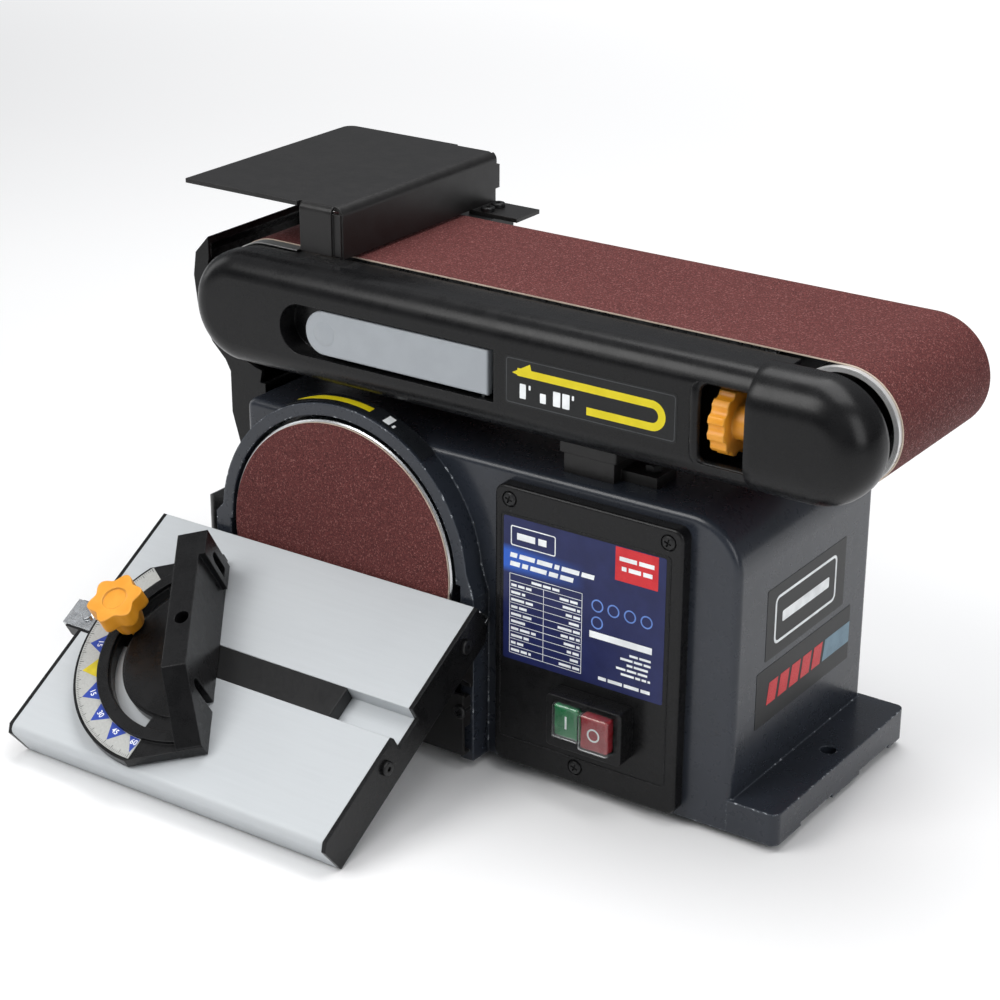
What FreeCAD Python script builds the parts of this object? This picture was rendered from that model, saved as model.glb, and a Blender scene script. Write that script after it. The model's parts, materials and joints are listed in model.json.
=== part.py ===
import FreeCAD, Part
import Sketcher
import math
import os

# Combined belt and disc grinder for the bench.
# All lengths are millimetres. Every piece is drawn in the frame of the disc:
# origin at the centre of the abrasive disc's face, X along the belt towards
# the idler roller, Y from the disc's face to the back of the machine, Z up.
# The Placement of each piece then carries it to the frame of the part, whose
# origin is the point midway between the two bench-bolt holes, on the bench.
# Cutting shapes overrun the material by about 1 mm.

Vector = FreeCAD.Vector
Rotation = FreeCAD.Rotation
Placement = FreeCAD.Placement
X_AXIS, Y_AXIS, Z_AXIS = Vector(1, 0, 0), Vector(0, 1, 0), Vector(0, 0, 1)

DIMENSIONS = [
    # alias, value, what it is
    ("origin_x", -84.5, "disc centre in the part frame, X"),
    ("origin_y", -96.0, "disc centre in the part frame, Y"),
    ("origin_z", 105.0, "height of the disc centre over the bench"),
    ("bench_z", -105.0, "bench plane"),
    ("base_left", -78.0, "left face of the base"),
    ("base_right", 245.0, "right face of the base"),
    ("base_front", 16.0, "front face of the base"),
    ("base_back", 166.0, "back face of the base"),
    ("base_top", 70.0, "top of the base"),
    ("base_wall", 5.5, "wall of the casting"),
    ("base_corner", 30.0, "radius of the top right corner"),
    ("shroud_front", 1.5, "front rim of the disc shroud"),
    ("shroud_in", 79.0, "inner radius of the shroud"),
    ("shroud_out", 86.0, "outer radius of the shroud"),
    ("shroud_right", 90.5, "right wall of the shroud, outside"),
    ("shroud_left", -91.0, "left wall of the shroud, outside"),
    ("flange_top", -86.5, "top of the bench flanges"),
    ("flange_right", 273.0, "outer edge of the right flange"),
    ("flange_left", -107.0, "outer edge of the left flange"),
    ("bolt_right", 261.0, "right bench bolt, X"),
    ("bolt_left", -92.0, "left bench bolt, X"),
    ("bolt_y", 96.0, "both bench bolts, Y"),
    ("bolt_rad", 4.5, "radius of the bench bolt holes"),
    ("disc_rad", 75.0, "abrasive disc radius"),
    ("disc_thick", 1.0, "abrasive disc thickness"),
    ("plate_rad", 76.5, "disc plate radius"),
    ("plate_thick", 9.0, "disc plate thickness"),
    ("shaft_rad", 8.0, "motor shaft radius"),
    ("can_rad", 57.0, "motor housing radius"),
    ("drum_x", -72.4, "drive drum axis, X"),
    ("drum_z", 126.6, "roller axes, Z"),
    ("idler_x", 285.9, "idler roller axis, X"),
    ("roller_rad", 31.15, "radius of drum and idler"),
    ("belt_in", 31.18, "inner radius of the belt on the rollers"),
    ("belt_thick", 0.9, "belt thickness"),
    ("belt_front", 39.1, "front edge of the belt"),
    ("belt_width", 100.0, "belt width"),
    ("roller_front", 37.3, "front end of the rollers"),
    ("roller_back", 140.4, "back end of the rollers"),
    ("axle_rad", 6.0, "drum shaft and idler axle radius"),
    ("bear_rad", 14.0, "outer radius of the roller bearings"),
    ("bear_width", 8.0, "bearing width"),
    ("cover_front", 0.5, "front face of the arm cover"),
    ("cover_back", 36.4, "back edge of the arm cover"),
    ("cover_rad", 32.0, "arm cover radius"),
    ("cover_wall", 3.0, "arm cover wall"),
    ("cover_round", 13.0, "edge rounding of the arm cover"),
    ("lever_left", -21.0, "free end of the tension lever"),
    ("lever_right", 99.4, "hinged end of the tension lever"),
    ("lever_rad", 12.5, "half height of the tension lever"),
    ("lever_pin_x", 94.0, "tension lever hinge, X"),
    ("lever_pin_y", 6.5, "tension lever hinge, Y"),
    ("knob_rad", 17.5, "tracking knob radius"),
    ("knob_left", 232.5, "tracking knob, left face"),
    ("knob_y", 15.0, "tracking knob axis, Y"),
    ("panel_left", 100.0, "switch panel, left"),
    ("panel_right", 216.0, "switch panel, right"),
    ("panel_low", -102.0, "switch panel, bottom"),
    ("panel_high", 63.0, "switch panel, top"),
    ("panel_front", 8.0, "switch panel, front face"),
    ("table_tilt", 30.98, "tilt of the table as it stands"),
    ("table_y", -2.4, "rear top edge of the table, Y"),
    ("table_z", -8.0, "rear top edge of the table, Z"),
    ("table_left", -128.8, "table, left end"),
    ("table_wide", 225.0, "table width"),
    ("table_deep", 160.0, "table depth"),
    ("table_thick", 5.0, "table plate thickness"),
    ("apron_high", 24.0, "height of the apron and end plates"),
    ("end_thick", 2.5, "thickness of the table end plates"),
    ("slot_d", 79.0, "mitre slot centre, from the rear edge"),
    ("slot_wide", 19.3, "mitre slot width"),
    ("bar_wide", 19.0, "mitre bar width"),
    ("bar_high", 9.4, "mitre bar height"),
    ("mitre_x", -38.3, "mitre swivel axis, X"),
    ("mitre_turn", 30.0, "mitre angle as it stands"),
    ("mitre_rad", 77.0, "mitre head radius"),
    ("star_dist", 51.5, "star knob from the swivel axis"),
    ("hood_front", 36.0, "dust hood, front face"),
    ("hood_back", 140.0, "dust hood, back face"),
    ("hood_wall", 2.5, "dust hood wall"),
    ("outlet_rad", 31.75, "dust outlet, outside radius"),
    ("outlet_y", 108.0, "dust outlet axis, Y"),
    ("outlet_z", -37.0, "dust outlet axis, Z"),
    ("support_x", -12.0, "work support, stop face"),
    ("support_top", 190.0, "work support, top face"),
    ("sheet_thick", 2.5, "work support sheet thickness"),
    ("screw_rad", 1.95, "pan head screw shank radius"),
    ("screw_head", 4.0, "pan head screw head radius"),
    ("fit_gap", 0.05, "radial gap of a close fit"),
]


class Length:
    """A length that carries its value and its spreadsheet expression."""

    def __init__(self, value, expr=None, bound=None):
        self.value = float(value)
        self.bound = expr is not None if bound is None else bound
        self.expr = expr or f"({self.value!r})"

    @staticmethod
    def of(item):
        return item if isinstance(item, Length) else Length(item)

    def _join(self, other, sign, value):
        return Length(value, f"({self.expr} {sign} {other.expr})", self.bound or other.bound)

    def __add__(self, other):
        other = Length.of(other)
        return self._join(other, "+", self.value + other.value)

    def __sub__(self, other):
        other = Length.of(other)
        return self._join(other, "-", self.value - other.value)

    def __mul__(self, other):
        other = Length.of(other)
        return self._join(other, "*", self.value * other.value)

    def __truediv__(self, other):
        other = Length.of(other)
        return self._join(other, "/", self.value / other.value)

    def __neg__(self):
        return Length(0.0) - self


class Dimensions:
    """Holds one Length for each alias of the sheet."""


doc = FreeCAD.newDocument("BenchBeltGrinder")
sheet = doc.addObject("Spreadsheet::Sheet", "Dims")
dim = Dimensions()
for row, (alias, value, note) in enumerate(DIMENSIONS, start=1):
    sheet.set(f"A{row}", note)
    sheet.set(f"B{row}", repr(value))
    sheet.setAlias(f"B{row}", alias)
    setattr(dim, alias, Length(value, "Dims." + alias))
doc.recompute()


# ---------------------------------------------------------------- binding and placing
def bind(obj, prop, length):
    """Bind a property to the sheet; plain Part::Feature solids stay unbound."""
    if length.bound and obj.TypeId != "Part::Feature":
        obj.setExpression(prop, length.expr)


def set_length(obj, prop, length):
    length = Length.of(length)
    setattr(obj, prop, length.value)
    bind(obj, prop, length)


def place(obj, x, y, z, turn=Rotation()):
    spot = [Length.of(part) for part in (x, y, z)]
    obj.Placement = Placement(Vector(*[part.value for part in spot]), turn)
    for axis, part in zip("xyz", spot):
        bind(obj, "Placement.Base." + axis, part)


pieces = {}


def finish(name, obj, frame="disc", axis_x=0.0, axis_z=0.0):
    """Label an object as a finished piece and carry it from its frame to the part frame.

    disc: the drawing frame, moved on by axis_x and axis_z.
    table: origin on the rear top edge, -Y down the slope, Z off the top.
    mitre: origin on the swivel axis at the table's top, X along the fence.
    """
    obj.Label = name
    pieces[name] = obj
    x, y, z = dim.origin_x + axis_x, dim.origin_y, dim.origin_z + axis_z
    if frame == "disc":
        place(obj, x, y, z)
        return
    y, z = y + dim.table_y, z + dim.table_z
    tilt = Rotation(X_AXIS, dim.table_tilt.value)
    if frame == "table":
        place(obj, x, y, z, tilt)
        bind(obj, "Placement.Rotation.Angle", dim.table_tilt)
        return
    swivel = tilt.multVec(Vector(dim.mitre_x.value, -dim.slot_d.value, 0))
    turn = Rotation(Z_AXIS, -90.0 + dim.mitre_turn.value)
    obj.Placement = Placement(Vector(x.value, y.value, z.value) + swivel, tilt.multiply(turn))


def finish_solid(name, shape, frame="disc"):
    """Finish a plain shape; a placed one is wrapped so that it keeps its own placement."""
    obj = doc.addObject("Part::Feature", "Solid_" + name)
    if not shape.Placement.isIdentity():
        shape = Part.makeCompound([shape])
    obj.Shape = shape
    finish(name, obj, frame)


# ---------------------------------------------------------------- primitives and booleans
def box(x0, y0, z0, x1, y1, z1):
    obj = doc.addObject("Part::Box", "Box")
    for prop, low, high in (("Length", x0, x1), ("Width", y0, y1), ("Height", z0, z1)):
        set_length(obj, prop, Length.of(high) - low)
    place(obj, x0, y0, z0)
    return obj


AXIS_TURN = {"x": Rotation(Y_AXIS, 90), "y": Rotation(X_AXIS, -90), "z": Rotation()}


def cylinder(axis, radius, start, end, first=0, second=0):
    """Cylinder along an axis; first and second are the other two coordinates, in XYZ order."""
    obj = doc.addObject("Part::Cylinder", "Cylinder")
    set_length(obj, "Radius", radius)
    set_length(obj, "Height", Length.of(end) - start)
    spot = [first, second]
    spot.insert("xyz".index(axis), start)
    place(obj, *spot, AXIS_TURN[axis])
    return obj


def fuse(*parts):
    obj = doc.addObject("Part::MultiFuse", "Fuse")
    obj.Shapes = list(parts)
    return obj


def cut(base, *tools):
    for tool in tools:
        obj = doc.addObject("Part::Cut", "Cut")
        obj.Base, obj.Tool = base, tool
        base = obj
    return base


def group(*parts):
    obj = doc.addObject("Part::Compound", "Group")
    obj.Links = list(parts)
    return obj


def ring(outer, inner, front, back, x=0, z=0):
    """Tube along Y."""
    return cut(cylinder("y", outer, front, back, x, z),
               cylinder("y", inner, Length.of(front) - 1.0, Length.of(back) + 1.0, x, z))


def edges(axis=None, skip=(), **limits):
    """Test that picks edges by direction and centre, less those that a skip test picks."""
    def test(edge):
        if axis:
            if not isinstance(edge.Curve, Part.Line):
                return False
            direction = edge.tangentAt(edge.FirstParameter)
            if abs(abs(getattr(direction, axis)) - 1.0) >= 1e-6:
                return False
        centre = edge.CenterOfMass
        inside = all(low <= getattr(centre, key) <= high for key, (low, high) in limits.items())
        return inside and not any(other(edge) for other in skip)
    return test


def edge_numbers(shape, tests):
    return [number for number, edge in enumerate(shape.Edges, start=1)
            if any(test(edge) for test in tests)]


def fillet(base, radius, *tests):
    """Round the edges of a Part object that any of the tests picks."""
    doc.recompute()
    obj = doc.addObject("Part::Fillet", "Fillet")
    obj.Base = base
    obj.Edges = [(number, radius, radius) for number in edge_numbers(base.Shape, tests)]
    return obj


# ---------------------------------------------------------------- sketch outlines
# Each outline function returns a function that draws it on a sketch.
def add_driven(profile, length, *spec):
    """Add a dimensional constraint that follows the length."""
    index = profile.addConstraint(Sketcher.Constraint(*spec, length.value))
    bind(profile, f"Constraints[{index}]", length)


def pin_point(profile, item, point, x, y):
    """Fix a point of a sketch item at x, y."""
    for kind, length, axis in (("DistanceX", Length.of(x), -2), ("DistanceY", Length.of(y), -1)):
        if abs(length.value) < 1e-9 and not length.bound:
            profile.addConstraint(Sketcher.Constraint("PointOnObject", item, point, axis))
        else:
            add_driven(profile, length, kind, -1, 1, item, point)


def add_line(profile, x0, y0, x1, y1):
    return profile.addGeometry(Part.LineSegment(Vector(x0, y0, 0), Vector(x1, y1, 0)), False)


def add_arc(profile, x, y, radius, start, end):
    whole = Part.Circle(Vector(x, y, 0), Z_AXIS, radius)
    return profile.addGeometry(Part.ArcOfCircle(whole, start, end), False)


def polygon(points):
    def draw(profile):
        values = [(Length.of(x).value, Length.of(y).value) for x, y in points]
        following = values[1:] + values[:1]
        lines = [add_line(profile, *start, *end) for start, end in zip(values, following)]
        for line, after in zip(lines, lines[1:] + lines[:1]):
            profile.addConstraint(Sketcher.Constraint("Coincident", line, 2, after, 1))
        for line, (x, y) in zip(lines, points):
            pin_point(profile, line, 1, x, y)
    return draw


def rect(x0, y0, x1, y1):
    return polygon([(x0, y0), (x1, y0), (x1, y1), (x0, y1)])


def circles(points, radius):
    radius = Length.of(radius)

    def draw(profile):
        for x, y in points:
            centre = Vector(Length.of(x).value, Length.of(y).value, 0)
            item = profile.addGeometry(Part.Circle(centre, Z_AXIS, radius.value), False)
            add_driven(profile, radius, "Radius", item)
            pin_point(profile, item, 3, x, y)
    return draw


def circle(x, y, radius):
    return circles([(x, y)], radius)


def stadium(x0, x1, y, radius):
    """Slot outline along the sketch's X from centre x0 to centre x1."""
    x0, x1, y, radius = [Length.of(part) for part in (x0, x1, y, radius)]
    left, right, middle, half = x0.value, x1.value, y.value, radius.value

    def draw(profile):
        top = add_line(profile, left, middle + half, right, middle + half)
        bottom = add_line(profile, right, middle - half, left, middle - half)
        left_arc = add_arc(profile, left, middle, half, math.pi / 2, 3 * math.pi / 2)
        right_arc = add_arc(profile, right, middle, half, -math.pi / 2, math.pi / 2)
        for joint in ((top, 1, left_arc, 1), (left_arc, 2, bottom, 2),
                      (bottom, 1, right_arc, 1), (right_arc, 2, top, 2)):
            profile.addConstraint(Sketcher.Constraint("Tangent", *joint))
        add_driven(profile, radius, "Radius", left_arc)
        pin_point(profile, left_arc, 3, x0, y)
        pin_point(profile, right_arc, 3, x1, y)
    return draw


# ---------------------------------------------------------------- part design
def new_body(name):
    return doc.addObject("PartDesign::Body", "Body_" + name)


def sketch(body, plane, at, outlines):
    """Sketch on one of the body's own planes, moved to the coordinate at."""
    at = Length.of(at)
    profile = body.newObject("Sketcher::SketchObject", "Sketch")
    role = plane.upper() + "_Plane"
    support = [item for item in body.Origin.OriginFeatures if item.Role == role][0]
    profile.AttachmentSupport = [(support, "")]
    profile.MapMode = "FlatFace"
    # the XZ plane's normal is -Y
    offset = -at if plane == "xz" else at
    profile.AttachmentOffset = Placement(Vector(0, 0, offset.value), Rotation())
    bind(profile, "AttachmentOffset.Base.z", offset)
    for draw in outlines:
        draw(profile)
    return profile


def extrude(body, kind, profile, length, is_reversed):
    step = body.newObject("PartDesign::" + kind, kind)
    step.Profile = profile
    set_length(step, "Length", length)
    step.Reversed = is_reversed
    body.Tip = step


def pad(body, plane, at, length, *outlines):
    """Pad towards the positive axis."""
    profile = sketch(body, plane, at, outlines)
    extrude(body, "Pad", profile, length, plane == "xz")


def pocket(body, plane, at, length, *outlines):
    """Pocket towards the positive axis; the volume must go down."""
    profile = sketch(body, plane, at, outlines)
    doc.recompute()
    before = body.Shape.Volume
    extrude(body, "Pocket", profile, length, plane != "xz")
    doc.recompute()
    if not body.Shape.Volume < before - 1e-3:
        raise RuntimeError("pocket %s in %s cut nothing" % (body.Tip.Name, body.Name))


def turned_body(name, points):
    """Body turned about Y from a half section; columns are radius, Y."""
    body = new_body(name)
    profile = sketch(body, "xy", 0, [polygon(points)])
    step = body.newObject("PartDesign::Revolution", "Revolution")
    step.Profile = profile
    step.ReferenceAxis = (profile, ["V_Axis"])
    step.Angle = 360.0
    body.Tip = step
    return body


def body_fillet(body, radius, *tests):
    """Round the edges of a body that any of the tests picks."""
    doc.recompute()
    tip = body.Tip
    numbers = edge_numbers(tip.Shape, tests)
    if not numbers:
        raise RuntimeError("no edges to round in " + body.Name)
    step = body.newObject("PartDesign::Fillet", "Round")
    step.Base = (tip, ["Edge%d" % number for number in numbers])
    set_length(step, "Radius", radius)
    body.Tip = step
    doc.recompute()
    if not step.Shape.isValid():
        raise RuntimeError("rounding failed in " + body.Name)


# ---------------------------------------------------------------- plain solids
def prism(points, sweep):
    return Part.Face(Part.makePolygon(points + points[:1])).extrude(sweep)


def hexagon(radius, z):
    angles = [math.radians(60 * k) for k in range(6)]
    return [Vector(radius * math.cos(angle), radius * math.sin(angle), z) for angle in angles]


def aim(shape, point, direction):
    """Put the shape's origin at the point with its Z along the direction."""
    shape.Placement = Placement(Vector(*point), Rotation(Z_AXIS, Vector(*direction)))
    return shape


# Screws and bolts: the point is where the head's underside sits, the shank
# runs along the direction, and starts 0.1 mm inside the head.
def round_head(radius, height, rounding):
    head = Part.makeCylinder(radius, height, Vector(0, 0, -height))
    rim = [edge for edge in head.Edges
           if abs(edge.CenterOfMass.z + height) < 1e-6 and isinstance(edge.Curve, Part.Circle)]
    return head.makeFillet(rounding, rim)


def shank(radius, length):
    return Part.makeCylinder(radius, length, Vector(0, 0, -0.1))


def pan_screw(point, direction, length):
    """Pan head screw with a cross recess."""
    height = 2.4
    screw = round_head(dim.screw_head.value, height, 1.3).fuse(shank(dim.screw_rad.value, length))
    for angle in (20, 110):
        slot = Part.makeBox(4.4, 0.9, 1.3, Vector(-2.2, -0.45, -height - 0.1))
        slot.rotate(Vector(0, 0, 0), Z_AXIS, angle)
        screw = screw.cut(slot)
    return aim(screw.removeSplitter(), point, direction)


def socket_screw(point, direction, length, radius=1.95, head_radius=4.2, head_height=2.2):
    """Round head screw with a hexagonal recess."""
    screw = round_head(head_radius, head_height, min(0.9, head_height * 0.45))
    screw = screw.fuse(shank(radius, length))
    recess = prism(hexagon(1.6, -head_height - 0.1), Vector(0, 0, head_height * 0.6 + 0.1))
    return aim(screw.cut(recess).removeSplitter(), point, direction)


def hex_bolt(point, direction, length, head_radius=5.0, head_height=4.0):
    """Hexagon bolt with a chamfered head."""
    head = prism(hexagon(head_radius, -head_height), Vector(0, 0, head_height))
    head = head.common(Part.makeCone(head_radius - 0.9, head_radius + 3.1, 4.0,
                                     Vector(0, 0, -head_height)))
    return aim(head.fuse(shank(3.0, length)).removeSplitter(), point, direction)


def hull(start, end, start_radius, end_radius, front, back):
    """Solid hull of two circles in the XZ plane, from Y front to back."""
    first, last = Vector(start[0], 0, start[1]), Vector(end[0], 0, end[1])
    span = last - first
    sine = (start_radius - end_radius) / span.Length
    cosine = math.sqrt(1 - sine * sine)
    course = span.normalize()
    across = Vector(-course.z, 0, course.x)
    side_a, side_b = course * sine + across * cosine, course * sine - across * cosine
    first_a, first_b = first + side_a * start_radius, first + side_b * start_radius
    last_a, last_b = last + side_a * end_radius, last + side_b * end_radius
    face = Part.Face(Part.Wire([
        Part.Arc(first_b, first - course * start_radius, first_a).toShape(),
        Part.makeLine(first_a, last_a),
        Part.Arc(last_a, last + course * end_radius, last_b).toShape(),
        Part.makeLine(last_b, first_b)]))
    face.translate(Vector(0, front, 0))
    return face.extrude(Vector(0, back - front, 0))


def band(start, end, start_radius, end_radius, thick, front, back):
    """Closed flat belt round two circles in the XZ plane."""
    outer = hull(start, end, start_radius + thick, end_radius + thick, front, back)
    return outer.cut(hull(start, end, start_radius, end_radius, front, back))


# ================================================================ screw places and fits
# X, Z of the screws that run along Y
PANEL_SCREWS = [(109.3, 55.4), (207.2, 55.1), (153.2, -91.8)]
MOTOR_BOLTS = [(32.0, 32.0), (-32.0, 32.0), (-32.0, -32.0), (32.0, -32.0)]
GUARD_SCREWS = [(-85.8, -72.0), (86.8, -72.0)]
SUPPORT_SCREWS = [(-84.2, -22.0), (84.6, -22.0), (-84.2, -50.0), (84.6, -50.0)]
PULLEY_COVER_SCREWS = [(-66.0, 40.0), (36.0, -6.0), (-36.0, -6.0)]
ARM_COVER_SCREWS = [(-50.0, 126.6), (122.0, 147.0), (122.0, 106.2)]
# X, Y of the screws that run along Z
BRACKET_BOLTS = [(-60.0, 157.0), (-20.0, 157.0)]
REST_BOLT = (176.0, 44.0)
WORK_SUPPORT_SCREWS = [(-4.0, 160.5), (-4.0, 150.0)]
# Y, Z of the screws that run along X
DUST_BOX_SCREWS = [(140.0, -4.0), (32.0, -4.0), (140.0, -70.0)]

screw_hole = dim.screw_rad + dim.fit_gap
screw_clear = dim.screw_rad + 0.15
head_clear = dim.screw_head + 0.6
MOTOR_BOLT_HOLE = 3.1
TOP_BOLT_CLEAR = 3.2
SEAT_GAP = 0.05  # between parts that sit on each other
BORE_GAP = 0.02  # radial, between a shaft or bearing and its bore
RACE_GAP = 0.03  # radial, between a shaft and the bearing on it

# ================================================================ base
body = new_body("base_casting")
pad(body, "xz", dim.base_front, dim.base_back - dim.base_front,
    rect(dim.base_left, dim.bench_z, dim.base_right, dim.base_top))
body_fillet(body, dim.base_corner, edges("y", x=(240, 250), z=(60, 80)))
body_fillet(body, 6.0, edges("y", x=(-80, -76), z=(60, 80)))
body_fillet(body, 5.0, edges(y=(165.9, 166.1), z=(-100, 80),
                             skip=[edges("y"), edges("x", z=(-106, -104))]))
body_fillet(body, 4.0, edges(y=(15.9, 16.1), x=(150, 250), z=(-100, 80),
                             skip=[edges("y"), edges("x")]))
# disc shroud: ring with straight walls down to the bench
shroud_depth = dim.base_front - dim.shroud_front + 1.0
pad(body, "xz", dim.shroud_front, shroud_depth, circle(0, 0, dim.shroud_out))
pad(body, "xz", dim.shroud_front, shroud_depth,
    polygon([(dim.shroud_left, dim.bench_z), (dim.shroud_right, dim.bench_z),
             (dim.shroud_right, -6.0), (85.6, 8.0), (-85.6, 8.0), (dim.shroud_left, 2.0)]))
# the left wall of the shroud runs back beside the base
pad(body, "xz", dim.base_front, 6.0,
    rect(dim.shroud_left, dim.bench_z, dim.base_left + 1, 2.0))
# bench flanges
flange_thick = dim.flange_top - dim.bench_z
pad(body, "xy", dim.bench_z, flange_thick,
    rect(dim.base_right - 2.0, dim.base_front, dim.flange_right, dim.base_back))
pad(body, "xy", dim.bench_z, flange_thick,
    rect(dim.flange_left, 60.0, dim.base_left + 2.0, dim.base_back))
body_fillet(body, 5.0, edges("z", x=(272, 274)))
# disc well
before_shroud = dim.shroud_front - 1.0
pocket(body, "xz", before_shroud, shroud_depth, circle(0, 0, dim.shroud_in))
pocket(body, "xz", before_shroud, shroud_depth, rect(-80.5, dim.bench_z - 1.0, 82.0, 0.0))
# hollow inside, open to the bench and lower under the rounded corner
below_bench = dim.bench_z - 1.0
inner_left = dim.base_left + dim.base_wall
inner_front = dim.base_front + dim.base_wall
inner_back = dim.base_back - dim.base_wall
pocket(body, "xy", below_bench, dim.base_top - dim.base_corner - dim.bench_z + 1.0,
       rect(inner_left, inner_front, dim.base_right - dim.base_wall, inner_back))
pocket(body, "xy", below_bench, dim.base_top - dim.base_wall - dim.bench_z + 1.0,
       rect(inner_left, inner_front, dim.base_right - dim.base_corner, inner_back))
# shaft openings front and back, switch opening, cord opening
before_front = dim.base_front - 1.0
before_back = inner_back - 1.0
through_wall = dim.base_wall + 3.0
pocket(body, "xz", before_front, through_wall, circle(0, 0, 18.0))
pocket(body, "xz", before_back, through_wall, circle(0, 0, 12.0))
pocket(body, "xz", before_front, through_wall, rect(141.0, -77.0, 191.0, -43.0))
pocket(body, "xz", before_back, through_wall, circle(200.0, -72.0, 6.1))
# bench bolt holes, and the relief under the right flange
for bolt_x in (dim.bolt_right, dim.bolt_left):
    pocket(body, "xy", below_bench, flange_thick + 3.0, circle(bolt_x, dim.bolt_y, dim.bolt_rad))
relief_left, relief_right = dim.base_right + 3.0, dim.flange_right + 2.0
pocket(body, "xy", below_bench, 3.2,
       rect(relief_left, 44.0, relief_right, 80.0), rect(relief_left, 112.0, relief_right, 148.0))
# holes in the front wall: panel screws and motor bolts
for places, radius in ((PANEL_SCREWS, screw_hole), (MOTOR_BOLTS, MOTOR_BOLT_HOLE)):
    pocket(body, "xz", dim.base_front - 0.5, dim.base_wall + 1.0, circles(places, radius))
# holes in the shroud
pocket(body, "xz", before_shroud, 9.5, circles(GUARD_SCREWS + SUPPORT_SCREWS, screw_hole))
# holes in the top, the back wall and the left wall
past_wall = dim.base_wall + 2.0
pocket(body, "xy", dim.base_top - dim.base_wall - 1.0, past_wall,
       circles(BRACKET_BOLTS + [REST_BOLT], dim.fit_gap + 3.0))
pocket(body, "xz", before_back, past_wall, circles(PULLEY_COVER_SCREWS, screw_hole))
pocket(body, "yz", dim.base_left - 1.0, past_wall, circles(DUST_BOX_SCREWS, screw_hole))
finish("base_casting", body)

# ================================================================ switch panel
body = new_body("switch_panel")
pad(body, "xz", dim.panel_front, dim.base_front - dim.panel_front - SEAT_GAP,
    rect(dim.panel_left, dim.panel_low, dim.panel_right, dim.panel_high))
body_fillet(body, 6.0, edges("y"))
body_fillet(body, 1.6, edges(y=(7.9, 8.1)))
# hollow behind the face, in two fields
pocket(body, "xz", dim.panel_front + 3.0, 10.0,
       rect(dim.panel_left + 3.0, -86.0, dim.panel_right - 3.0, 48.0),
       rect(dim.panel_left + 17.0, 48.5, dim.panel_right - 17.0, dim.panel_high - 3.0))
# switch opening, screw holes and recesses for the screw heads
before_panel = dim.panel_front - 1.0
pocket(body, "xz", before_panel, 12.0, rect(144.4, -73.3, 187.2, -46.2))
pocket(body, "xz", before_panel, 12.0, circles(PANEL_SCREWS, screw_clear))
pocket(body, "xz", before_panel, 2.6, circles(PANEL_SCREWS, head_clear))
finish("switch_panel", body)

# ================================================================ pan head screws
SCREW_ROWS = [
    # X, Z places, Y under the head, Y direction, length
    (PANEL_SCREWS, dim.panel_front.value + 1.55, 1, 11.0),
    (GUARD_SCREWS, -5.55, 1, 14.0),
    (SUPPORT_SCREWS, -1.05, 1, 10.0),
    (PULLEY_COVER_SCREWS, dim.base_back.value + 2.55, -1, 7.5),
]
screws = [pan_screw((x, seat, z), (0, way, 0), length)
          for places, seat, way, length in SCREW_ROWS for x, z in places]
screws += [pan_screw((-82.8, y, z), (1, 0, 0), 9.5) for y, z in DUST_BOX_SCREWS]
finish_solid("pan_head_screws", Part.makeCompound(screws))

# ================================================================ switch and its buttons
switch = fuse(box(142.4, -4.0, -75.0, 189.2, dim.panel_front - SEAT_GAP, -44.5),
              box(145.0, before_panel, -72.8, 186.8, 38.0, -46.8))
switch = fillet(switch, 2.0, edges("y", y=(1, 3)))
switch = cut(switch, box(147.9, -5.0, -68.3, 164.1, 16.0, -47.9),
             box(166.2, -5.0, -68.3, 184.2, 16.0, -47.9))
finish("switch_body", switch)
start = box(148.3, -6.0, -66.8, 163.6, 9.0, -48.4)
finish("start_button", fillet(start, 1.5, edges(y=(-6.1, 2.0))))
stop = box(166.8, -9.0, -67.8, 183.6, 9.0, -48.4)
finish("stop_button", fillet(stop, 1.5, edges(y=(-9.1, 2.0))))

# ================================================================ motor
body = turned_body("motor_housing", [
    (16.05, 21.7), (52.0, 21.7), (dim.can_rad, 26.0), (dim.can_rad, 152.0), (16.05, 152.0),
    (16.05, 147.0), (52.5, 147.0), (52.5, 30.0), (20.0, 30.0), (20.0, 33.0), (16.05, 33.0)])
pocket(body, "xz", 21.0, 10.0, circles(MOTOR_BOLTS, MOTOR_BOLT_HOLE))
finish("motor_housing", body)

CORE_FRONT, CORE_BACK = 62.0, 118.0
COIL_OUT, COIL_IN = 48.0, 35.0
finish("stator", fuse(ring(52.4, 31.0, CORE_FRONT, CORE_BACK),
                      ring(COIL_OUT, COIL_IN, 46.0, CORE_FRONT + 0.2),
                      ring(COIL_OUT, COIL_IN, CORE_BACK - 0.2, 134.0)))
shaft_bore = dim.shaft_rad + BORE_GAP
finish("motor_rotor", ring(30.5, shaft_bore, CORE_FRONT, CORE_BACK))
finish("motor_shaft", group(cylinder("y", dim.shaft_rad, 10.1, 190.0)))
finish("motor_bearings", group(*[ring(16.0, dim.shaft_rad + RACE_GAP, front, front + 9.0)
                                 for front in (22.6, 137.4)]))
finish_solid("motor_bolts", Part.makeCompound(
    [hex_bolt((x, 15.9, z), (0, 1, 0), 12.0, head_radius=4.6, head_height=3.2)
     for x, z in MOTOR_BOLTS]))

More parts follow.
